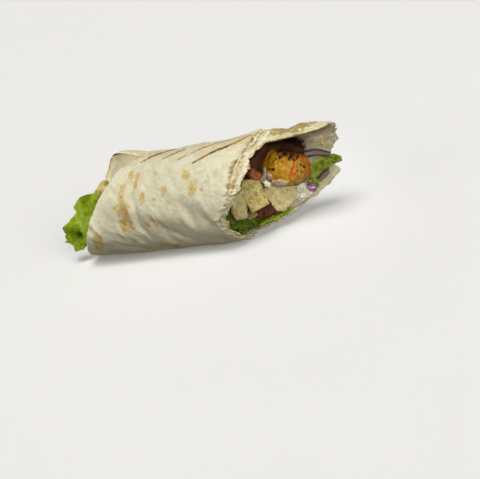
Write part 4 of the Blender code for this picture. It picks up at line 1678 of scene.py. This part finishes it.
@dataclass(frozen=True)
class Lump:
    """A torn cube of toast or tomato: a rounded block with broken faces.

    The block's surface lies where |x|^p + |y|^p + |z|^p = 1, p being its squareness.  A side
    is a flat that bounds it across and up: its direction in degrees and its distance.
    """

    name: str
    slot: Slot
    centre: Point
    size: Point
    turn: float
    seed: int
    squareness: float = 5.0
    broken: float = 0.85
    pits: float = 0.35
    crust: float = 0.5
    sides: tuple[tuple[float, float], ...] = ()
    rings: int = 110
    around: int = 150

    def build(self, material: bpy.types.Material) -> None:
        """Makes the lump on a grid of two angles, with broken faces, pores and browned edges.

        Args:
            material: Its finish.
        """
        axes = ROLL.facing(self.turn)
        ray = ball_rays(self.rings, self.around)
        reach = (np.abs(ray) ** self.squareness).sum(axis=-1) ** (-1.0 / self.squareness)
        block = ray * reach[..., None]
        points = block * np.array(self.size) / 2.0 @ axes
        across, up = ROLL.facing()[:2]
        for degrees, limit in self.sides:
            way = across * math.cos(math.radians(degrees)) + up * math.sin(math.radians(degrees))
            points = points * (limit / np.maximum(points @ way, limit))[..., None]
        points = np.array(self.centre) + points
        noise = Noise(self.seed)
        outwards = unit(points - np.array(self.centre))
        rough = self.broken * noise.at(points, 5.0) + 0.45 * self.broken * noise.at(points + 9, 2.2)
        pores = smooth(noise.at(points + 40.0, 1.15), 0.25, 0.75)
        fine = 0.12 * noise.at(points + 70.0, 0.7)
        points = points + outwards * (rough + fine - self.pits * pores)[..., None]
        corner = np.sort(np.abs(block), axis=-1)[..., 1]
        browned = self.crust * smooth(corner + 0.25 * noise.at(points, 3.0), 0.72, 0.98)
        browned = np.maximum(browned, 0.9 * smooth(noise.at(points + 55.0, 6.5), 0.28, 0.7)
                             * self.crust)
        points, faces = tube_mesh(points)
        # The pits sink into the surface; the finish darkens them as painted shade.
        new_piece(self.name + "_piece", points, faces, material, self.slot, (self.name,),
                  toast=padded(browned), pit=padded(0.8 * pores))


@dataclass(frozen=True)
class Leaf:
    """A thin wavy sheet that faces one way: a spine, a width along it, and frilled edges.

    Each point is spine + v * half width * side, moved along the sheet's normal by
    ruffle * |v|^1.5 * sin(waves), by a finer frill near the edge, and by cup * v^2.  A dimple
    is its place along and across, half its length and width, and its depth.  Its finish gives
    the rim a painted highlight and the dimple's hollow painted shade.
    """

    name: str
    slot: Slot
    spine: tuple[Point, ...]
    half_widths: tuple[float, ...]
    facing: Point | None = None
    ruffle: float = 0.0
    waves: float = 0.0
    thick: float = 0.9
    cup: float = 0.0
    frill: float = 0.0
    frills: float = 9.0
    lobes: float = 0.0
    lobe_count: float = 7.0
    veins: float = 0.0
    vein_count: float = 9.0
    dimple: tuple[float, float, float, float, float] | None = None
    seed: int = 0
    samples: tuple[int, int] = (120, 60)

    def build(self, material: bpy.types.Material) -> None:
        """Makes the leaf or layer on a grid of place along the spine and place across it.

        Args:
            material: Its finish.
        """
        rows, columns = self.samples
        path = path_through(self.spine, rows)
        tangent = np.gradient(path, axis=0)
        facing = ROLL.facing()[2] if self.facing is None else np.array(self.facing, float)
        side = unit(np.cross(facing, tangent))
        normal = unit(np.cross(tangent, side))
        along = np.linspace(0.0, 1.0, rows)[:, None]
        half = np.interp(along, np.linspace(0.0, 1.0, len(self.half_widths)), self.half_widths)
        v = np.linspace(-1.0, 1.0, columns)[None, :]
        noise = Noise(Seed.LEAVES + self.seed)
        flat = np.stack(np.broadcast_arrays(along * 40.0, v * 12.0, 0.0 * v), axis=-1)
        rim = np.abs(v)
        lobe = np.sin(math.pi * self.lobe_count * along + np.sign(v) * 0.9)
        cutback = self.lobes * (0.55 - 0.45 * lobe) + 0.6 * self.lobes * noise.at(flat, 2.5)
        width = half * (1.0 - cutback * rim ** 3)
        phase = 2.0 * math.pi * self.waves * along + 1.3 * np.sign(v)
        lift = self.ruffle * rim ** 1.5 * np.sin(phase) + self.cup * v ** 2
        frill_phase = 2.0 * math.pi * self.frills * along + 4.0 * noise.at(flat, 9.0)
        lift = lift + self.frill * rim ** 2.5 * np.sin(frill_phase + 2.0 * np.sign(v))
        vein = self.vein_field(along, v)
        lift = lift + 0.35 * self.frill * noise.at(flat, 3.0) - 0.25 * vein
        deep = np.zeros(vein.shape)
        if self.dimple is not None:
            u, w, half_u, half_w, depth = self.dimple
            deep = np.exp(-((along - u) / half_u) ** 2 - ((v - w) / half_w) ** 2)
            lift = lift + depth * deep
            # Painted shade: the finish darkens the dimple's hollow.
            deep = smooth(deep + 0.12 * noise.at(flat, 2.0), 0.45, 0.95)
        middle = (path[:, None, :] + (width * v)[..., None] * side[:, None, :]
                  + lift[..., None] * normal[:, None, :])
        body = 0.35 + 0.65 * (1.0 - smooth(rim, 0.55, 1.0)) + 0.8 * vein
        body = body * smooth(np.minimum(along, 1.0 - along), -0.02, 0.04)
        points, faces = slab_mesh(middle, np.clip(self.thick * body, 0.12, None))
        # Painted highlight: the finish makes the rim paler.
        edge = np.broadcast_to(smooth(rim, 0.75, 1.0), vein.shape)
        skin = np.broadcast_to(smooth(v, -0.2, 1.0), vein.shape)
        new_piece(self.name + "_leaf", points, faces, material, self.slot, (self.name,),
                  vein=twice(vein), edge=twice(edge), deep=twice(deep),
                  skin=np.concatenate([0.75 * skin + 0.1, 0.45 * skin + 0.55]))

    def vein_field(self, along: Array, v: Array) -> Array:
        """A middle rib and side veins that leave it slanting forwards, fading to the edge.

        Args:
            along: Place along the spine, from 0 to 1.
            v: Place across, from -1 to 1.

        Returns:
            1 on a vein, 0 between.
        """
        rib = np.exp(-(v / (0.10 * (1.15 - along))) ** 2) * (1.0 - 0.5 * along)
        wave = np.abs(np.sin(math.pi * self.vein_count * (along - 0.28 * np.abs(v))
                             + 0.8 * np.sign(v)))
        side = np.exp(-(wave / 0.22) ** 2) * (1.0 - smooth(np.abs(v), 0.5, 1.0)) * 0.8
        return self.veins * np.maximum(rib, side)


@dataclass(frozen=True)
class OnionLayer(Leaf):
    """A short, thick and smooth layer of red onion."""

    thick: float = 1.7
    cup: float = 0.4
    samples: tuple[int, int] = (60, 30)


@dataclass(frozen=True)
class Dressing:
    """Thick drops and smears of pale dressing: flattened rounds with a wandering outline.

    A drop is its centre, half its sizes, and its turn in degrees.
    """

    drops: tuple = (
        ((57.7, 18.0, -13.4), (4.2, 3.0, 2.4), 24), ((60.8, 19.6, -10.8), (2.6, 1.6, 1.4), 35),
        ((56.4, 16.2, -9.6), (3.0, 2.0, 1.4), 30), ((53.4, 13.0, -12.4), (2.4, 1.3, 1.1), 70),
        ((54.8, 15.6, -14.6), (3.2, 2.2, 1.9), -30), ((55.4, 14.6, -10.2), (2.2, 1.2, 1.2), 50),
        ((50.4, 7.8, -8.0), (2.4, 1.2, 1.1), 12), ((52.8, 10.6, -9.0), (1.8, 1.0, 1.0), 40),
        ((47.9, 5.0, -8.6), (1.9, 1.1, 1.0), -20), ((38.6, 0.6, -20.0), (3.4, 1.0, 0.9), 25),
        ((47.0, -3.4, 2.4), (2.4, 1.6, 1.4), -40), ((44.4, -1.6, 5.0), (1.5, 1.0, 1.0), 10),
        ((42.0, -4.8, 5.2), (1.3, 0.9, 0.9), 30))
    bumps: Octaves = ((0.45, 1.3, 0.0), (0.2, 0.6, 9.0))
    rings: int = 32
    around: int = 48

    def build(self, material: bpy.types.Material) -> None:
        """Makes all drops as one piece of joined rounds.

        Args:
            material: The dressing's finish.
        """
        all_points, quads, fans, start = [], [], [], 0
        ray = ball_rays(self.rings, self.around)
        for number, (centre, half, degrees) in enumerate(self.drops):
            shape = 1.0 + Noise(Seed.DROPS + number).octaves(ray * 2.0, self.bumps)
            local = ray * np.array(half) * shape[..., None]
            rings = np.array(centre) + local @ ROLL.facing(degrees)
            points, (quad, fan) = tube_mesh(rings)
            all_points.append(points)
            quads.append(quad + start)
            fans.append(fan + start)
            start += len(points)
        new_piece("dressing", np.concatenate(all_points),
                  [np.concatenate(quads), np.concatenate(fans)], material, Slot.FILLING)


# ---------------------------------------- the stage

@dataclass(frozen=True)
class Stage:
    """The pale floor, the soft light and the camera, which carries the half's lean.

    A light is its name, where it stands (across, up, out), its spread in degrees and its
    power.  A spot is its name, its target and way back from there in the roll's frame, the
    radius it covers, and its power.
    """

    distance: float = 600.0
    frame_pixels: float = 480.0
    pixel: float = 0.58
    axis_pixel: tuple[float, float] = (200.0, 195.4)
    middle_pixel: tuple[float, float] = (240.0, 239.5)
    sensor: float = 36.0
    floor_reach: float = 20.0
    floor: Colour = (0.97, 0.97, 0.97)
    floor_cloud: Colour = (0.70, 0.70, 0.70)
    floor_glow: float = 0.09
    lights: tuple = (("key", (-0.25, 0.72, 0.65), 34.0, 1.80),
                     ("front", (0.30, 0.22, 0.93), 24.0, 1.10),
                     ("left", (-0.93, -0.02, 0.36), 40.0, 0.22))
    spots: tuple = (("cut_spot", (50.0, 9.0, 2.0), (0.50, -0.78, 0.36), 44.0, 6.0),
                    ("rim_spot", (68.0, 24.0, -7.0), (0.50, -0.78, 0.36), 20.0, 14.0),
                    ("open_spot", (-68.0, 20.0, 24.0), (-0.66, -0.75, 0.05), 21.0, 100.0))
    spot_distance: float = 700.0
    spot_blend: float = 0.9
    spot_size: float = 0.04
    fill: float = 0.115
    fill_tint: Colour = (1.0, 0.92, 0.72)
    backdrop: float = 0.83

    def build(self) -> None:
        """Makes the floor, the lights, the world and the camera."""
        self.make_floor()
        self.make_lights()
        self.make_world()
        self.make_camera()
        view = bpy.context.scene.view_settings
        view.view_transform = "Standard"
        view.look = "None"

    def make_floor(self) -> None:
        """A wide matt sheet under the half, the same pale grey as the world round it."""
        mesh = bpy.data.meshes.new("floor")
        corners = [(x * self.floor_reach, y * self.floor_reach, 0.0)
                   for x, y in ((-1, -1), (1, -1), (1, 1), (-1, 1))]
        mesh.from_pydata(corners, [], [(0, 1, 2, 3)])
        floor = bpy.data.objects.new("floor", mesh)
        bpy.context.scene.collection.objects.link(floor)
        shade = Shade("floor", roughness=0.9, specular=0.1)
        cloud = shade.grain(60.0, 2.0)
        shade.set("Base Color", shade.over(self.floor, self.floor_cloud, cloud, 0.3, 0.7, 0.03))
        shade.set("Emission Color", self.floor)
        shade.set("Emission Strength", self.floor_glow)
        mesh.materials.append(shade.material)
        floor.visible_diffuse = False
        floor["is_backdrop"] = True

    def make_lights(self) -> None:
        """A soft key light from above, weaker ones from the front and left, and three spots.

        The spots are narrow: they reach into the cut, its far rim and the open end.
        """
        for name, aim, spread, power in self.lights:
            light = bpy.data.lights.new(name, "SUN")
            light.energy = power
            light.angle = math.radians(spread)
            way = Vector(np.array(aim) @ ROLL.facing())
            self.hang(light, way.normalized(), way)
        for name, target, aim, reach, power in self.spots:
            light = bpy.data.lights.new(name, "SPOT")
            light.energy = power
            light.spot_size = 2.0 * math.atan(reach / self.spot_distance)
            light.spot_blend = self.spot_blend
            light.shadow_soft_size = self.spot_size
            way = Vector(aim).normalized()
            self.hang(light, Vector(ROLL.place(target)) + way * self.spot_distance * MM, way)

    def hang(self, light: bpy.types.Light, place: Vector, way: Vector) -> None:
        """Puts a light at a place, where it shines against a direction.

        Args:
            light: The light.
            place: Where it hangs.
            way: The direction back from what it shines on.
        """
        lamp = bpy.data.objects.new(light.name, light)
        lamp.location = place
        lamp.rotation_euler = way.to_track_quat("Z", "Y").to_euler()
        bpy.context.scene.collection.objects.link(lamp)

    def make_world(self) -> None:
        """A pale room: bright behind the half, and a weaker, warmer fill light on it."""
        world = bpy.data.worlds.new("pale_room")
        world.use_nodes = True
        tree = world.node_tree
        sky = tree.nodes["Background"]
        seen = tree.nodes.new("ShaderNodeLightPath").outputs["Is Camera Ray"]
        tint = tree.nodes.new("ShaderNodeMix")
        tint.data_type = "RGBA"
        tint.inputs[MIX_FIRST].default_value = (*self.fill_tint, 1.0)
        tint.inputs[MIX_SECOND].default_value = (1.0, 1.0, 1.0, 1.0)
        level = tree.nodes.new("ShaderNodeMapRange")
        level.inputs["To Min"].default_value = self.fill
        level.inputs["To Max"].default_value = self.backdrop
        for output, socket in ((seen, tint.inputs["Factor"]), (seen, level.inputs["Value"]),
                               (tint.outputs[MIX_RESULT], sky.inputs["Color"]),
                               (level.outputs["Result"], sky.inputs["Strength"])):
            tree.links.new(output, socket)
        bpy.context.scene.world = world

    def make_camera(self) -> None:
        """A long lens in front of the cut, rolled, aimed so that the axis lands on its pixel."""
        across, up, out = ROLL.facing()
        focal = self.distance / self.pixel
        shift = np.array(self.middle_pixel) - np.array(self.axis_pixel)
        look = unit(-out * focal + across * shift[0] - up * shift[1])
        right = unit(np.cross(look, up))
        lens = bpy.data.cameras.new("camera")
        lens.sensor_width = self.sensor
        lens.lens = self.sensor * focal / self.frame_pixels
        lens.clip_start, lens.clip_end = 0.01, 20.0
        camera = bpy.data.objects.new("camera", lens)
        turn = np.eye(4)
        turn[:3, 0], turn[:3, 1], turn[:3, 2] = right, np.cross(right, look), -look
        turn[:3, 3] = ROLL.place(out * self.distance)
        camera.matrix_world = Matrix(turn.tolist())
        bpy.context.scene.collection.objects.link(camera)
        bpy.context.scene.camera = camera


# ---------------------------------------- the whole

def build_bread() -> None:
    """The wound sheet in three lengths that meet out of sight, and its torn layers."""
    bread, sheet = BreadFinish().make(), Sheet()
    for name, start, end, columns, rows in (("tortilla_near", 0.0, 194.0, 240, 190),
                                            ("tortilla_far", 190.0, 396.0, 250, 190),
                                            ("tortilla_inner", 392.0, 705.0, 330, 130)):
        sheet.build(name, start, end, columns, rows, bread)
    TornEdge(sheet).build(TornFinish().make())


def build_pieces() -> None:
    """The core, the shrimp, the toast cubes and the tomato."""
    Core().build(CoreFinish().make())
    Shrimp().build(ShrimpFinish().make())
    dry = CrumbFinish().make()
    wet = CrumbFinish("crouton_wet", crumb=(0.70, 0.61, 0.31), shadow=(0.52, 0.43, 0.19),
                      brown=(0.50, 0.31, 0.09), wet=0.45).make()
    pale = CrumbFinish("crouton_pale", crumb=(0.72, 0.63, 0.33), shadow=(0.58, 0.47, 0.20),
                       brown=(0.52, 0.33, 0.10)).make()
    dull = CrumbFinish("crouton_dull", crumb=(0.36, 0.30, 0.12), shadow=(0.26, 0.20, 0.07),
                       brown=(0.30, 0.17, 0.05), wet=0.4).make()
    red = WetFinish("tomato", light=(0.13, 0.028, 0.008), dark=(0.065, 0.014, 0.005), grain=3.0,
                    roughness=0.42, coat=0.0, depth=0.12, specular=0.12).make()
    orange = WetFinish("tomato_orange", light=(0.40, 0.095, 0.012), dark=(0.13, 0.022, 0.008),
                       grain=1.2).make()
    Lump("crouton_1", Slot.CROUTON, centre=(38.4, -5.8, -2.6), size=(17.0, 20.5, 12.5), turn=0.0,
         seed=1, squareness=9.0, broken=0.6, crust=0.8,
         sides=((90, 8.6), (25, 5.6), (-57, 8.0), (209, 6.0), (186, 7.2))).build(dry)
    Lump("crouton_2", Slot.CROUTON, centre=(45.4, 8.4, -11.2), size=(19.5, 16.0, 13.0), turn=0.0,
         seed=2, squareness=7.0, broken=1.0, pits=0.5, crust=0.3,
         sides=((90, 7.2), (-25, 7.4), (-41, 7.0), (214, 6.0), (185, 8.6))).build(wet)
    Lump("crouton_3", Slot.CROUTON, centre=(31.4, -13.0, -4.0), size=(9.0, 17.0, 9.0), turn=8.0,
         seed=3).build(pale)
    Lump("crouton_4", Slot.CROUTON, centre=(33.8, -7.4, -13.0), size=(5.8, 5.0, 5.8), turn=30.0,
         seed=4, broken=0.6).build(dull)
    Lump("crouton_5", Slot.CROUTON, centre=(-58.2, -7.6, 12.3), size=(12.2, 13.0, 12.0),
         turn=-35.0, seed=8, crust=0.9).build(dry)
    Lump("tomato_1", Slot.TOMATO, centre=(38.2, 1.2, -14.9), size=(13.0, 8.4, 10.0), turn=20.0,
         seed=5, pits=0.1).build(red)
    Lump("tomato_2", Slot.TOMATO, centre=(40.8, -3.0, 8.2), size=(10.0, 6.0, 8.5), turn=-36.0,
         seed=6, squareness=3.0, pits=0.3).build(orange)


def build_lettuce() -> None:
    """The three leaves in the cut and the frilled one at the open end."""
    pale = LeafFinish("lettuce_pale", green=(0.34, 0.41, 0.05), dark=(0.12, 0.18, 0.006),
                      vein=(0.62, 0.64, 0.28), rim=(0.46, 0.52, 0.10)).make()
    bright = LeafFinish("lettuce_bright", green=(0.31, 0.43, 0.010), dark=(0.19, 0.30, 0.004),
                        vein=(0.52, 0.62, 0.14), rim=(0.42, 0.56, 0.03)).make()
    dark = LeafFinish("lettuce_dark", green=(0.15, 0.21, 0.006), dark=(0.035, 0.065, 0.003),
                      vein=(0.32, 0.40, 0.05), rim=(0.22, 0.29, 0.012)).make()
    fresh = LeafFinish("lettuce_fresh", green=(0.27, 0.375, 0.007), dark=(0.16, 0.245, 0.003),
                       vein=(0.48, 0.56, 0.10), rim=(0.38, 0.50, 0.02)).make()
    Leaf("lettuce_right", Slot.LETTUCE,
         spine=((59, 21.4, -14.0), (62.4, 20.4, -11.0), (64.2, 20.6, -6.6), (67.4, 23.0, -1.8),
                (74.2, 25, 1.2), (81.0, 26, 0.9)),
         half_widths=(1.6, 2.6, 3.8, 5.4, 3.8, 1.5), ruffle=1.3, waves=2.2, frill=1.3,
         frills=6.0, lobes=0.22, veins=0.8, seed=1).build(pale)
    Leaf("lettuce_strip", Slot.LETTUCE,
         spine=((34.0, -5.0, -20.0), (39.0, 1.5, -20.2), (43.2, 8.0, -20.4), (46.8, 14.0, -19.8)),
         half_widths=(5.0, 5.0, 5.0, 4.0), facing=(0.0, 0.1, 1.0), ruffle=0.5, waves=2.5,
         thick=1.44, frill=0.5, lobes=0.1, veins=0.5, seed=2).build(bright)
    Leaf("lettuce_front", Slot.LETTUCE,
         spine=((16.0, -22.6, -7.0), (21.8, -21.6, -9.4), (27.2, -17.4, -12.0),
                (31.8, -11.2, -16.0), (36.6, -4.8, -19.4)),
         half_widths=(4.4, 6.2, 7.4, 5.0, 1.4), ruffle=2.0, waves=2.0, cup=-1.0, frill=1.5,
         frills=5.0, lobes=0.40, veins=0.35, seed=3).build(dark)
    Leaf("lettuce_end", Slot.LETTUCE,
         spine=((-56, -12.5, 0), (-66, -15.2, 0.8), (-76, -15.6, -3.0), (-84.5, -14.8, -8.0),
                (-90.0, -13.8, -12.4), (-93.2, -13.6, -15.2)),
         half_widths=(13.0, 18.0, 10.0, 8.6, 8.4, 4.2), facing=(-0.1, -1.0, -0.05), ruffle=2.6,
         waves=2.3, cup=1.0, frill=1.3, frills=7.0, lobes=0.09, lobe_count=8.0, veins=0.8,
         dimple=(0.68, 0.10, 0.13, 0.45, -5.0), seed=4, samples=(240, 140)).build(fresh)


def build_onion() -> None:
    """The onion layers in the cut."""
    # A darker copy of the onion finish: painted shade, on the top and right layers.
    shaded_lilac = OnionFinish("onion_lilac_shaded", skin=(0.08, 0.014, 0.032), flesh=(0.24, 0.17, 0.14)).make()
    magenta = OnionFinish("onion_magenta", skin=(0.20, 0.012, 0.09),
                          flesh=(0.34, 0.10, 0.22)).make()
    pink = OnionFinish("onion_pink", skin=(0.24, 0.06, 0.09), flesh=(0.58, 0.47, 0.36)).make()
    white = OnionFinish("onion_white", skin=(0.40, 0.36, 0.22), flesh=(0.52, 0.47, 0.32)).make()
    OnionLayer("onion_top", Slot.ONION,
               spine=((62, 19.5, 8.6), (68.5, 22.4, 8.0), (76, 24.4, 4.8)),
               half_widths=(1.4, 1.7, 0.9), seed=5).build(shaded_lilac)
    OnionLayer("onion_right", Slot.ONION,
               spine=((66, 21.0, -8.0), (69.5, 22.1, -6.0), (72.8, 23.1, -4.0)),
               half_widths=(1.2, 1.9, 1.3), seed=6).build(shaded_lilac)
    OnionLayer("onion_bright", Slot.ONION,
               spine=((59.6, 17.8, -10.4), (61.8, 18.9, -11.1), (63.8, 19.9, -11.4)),
               half_widths=(1.7, 2.4, 1.8), seed=7).build(magenta)
    OnionLayer("onion_pink", Slot.ONION,
               spine=((47, 12.0, -18.0), (51.5, 14.2, -16.2), (56.5, 16.0, -14.9)),
               half_widths=(2.4, 3.2, 2.2), cup=0.8, seed=8).build(pink)
    OnionLayer("onion_white", Slot.ONION,
               spine=((41, -4, 4.5), (46.2, -2.6, 7.2), (47.6, -1.6, 11.4)),
               half_widths=(2.4, 2.8, 2.2), facing=(0.8, 0.5, -0.3), seed=9).build(white)


def build_dressing() -> None:
    """The drops of dressing."""
    Dressing().build(WetFinish("dressing", light=(0.90, 0.86, 0.66), dark=(0.66, 0.60, 0.42),
                               grain=2.6, roughness=0.2, coat=0.3, depth=0.2,
                               specular=0.4).make())


def write_sizes() -> None:
    """Gathers the solids' box and the dressed part's box into a table, which is not kept."""
    boxes = {"cad": CAD_BOX, "visual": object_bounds()}
    {name: [list(low), list(high)] for name, (low, high) in boxes.items()}


def main() -> None:
    """Builds the dressed half and its stage in order."""
    build_bread()
    build_pieces()
    build_lettuce()
    build_onion()
    build_dressing()
    Stage().build()
    write_sizes()


if __name__ == "__main__":
    main()
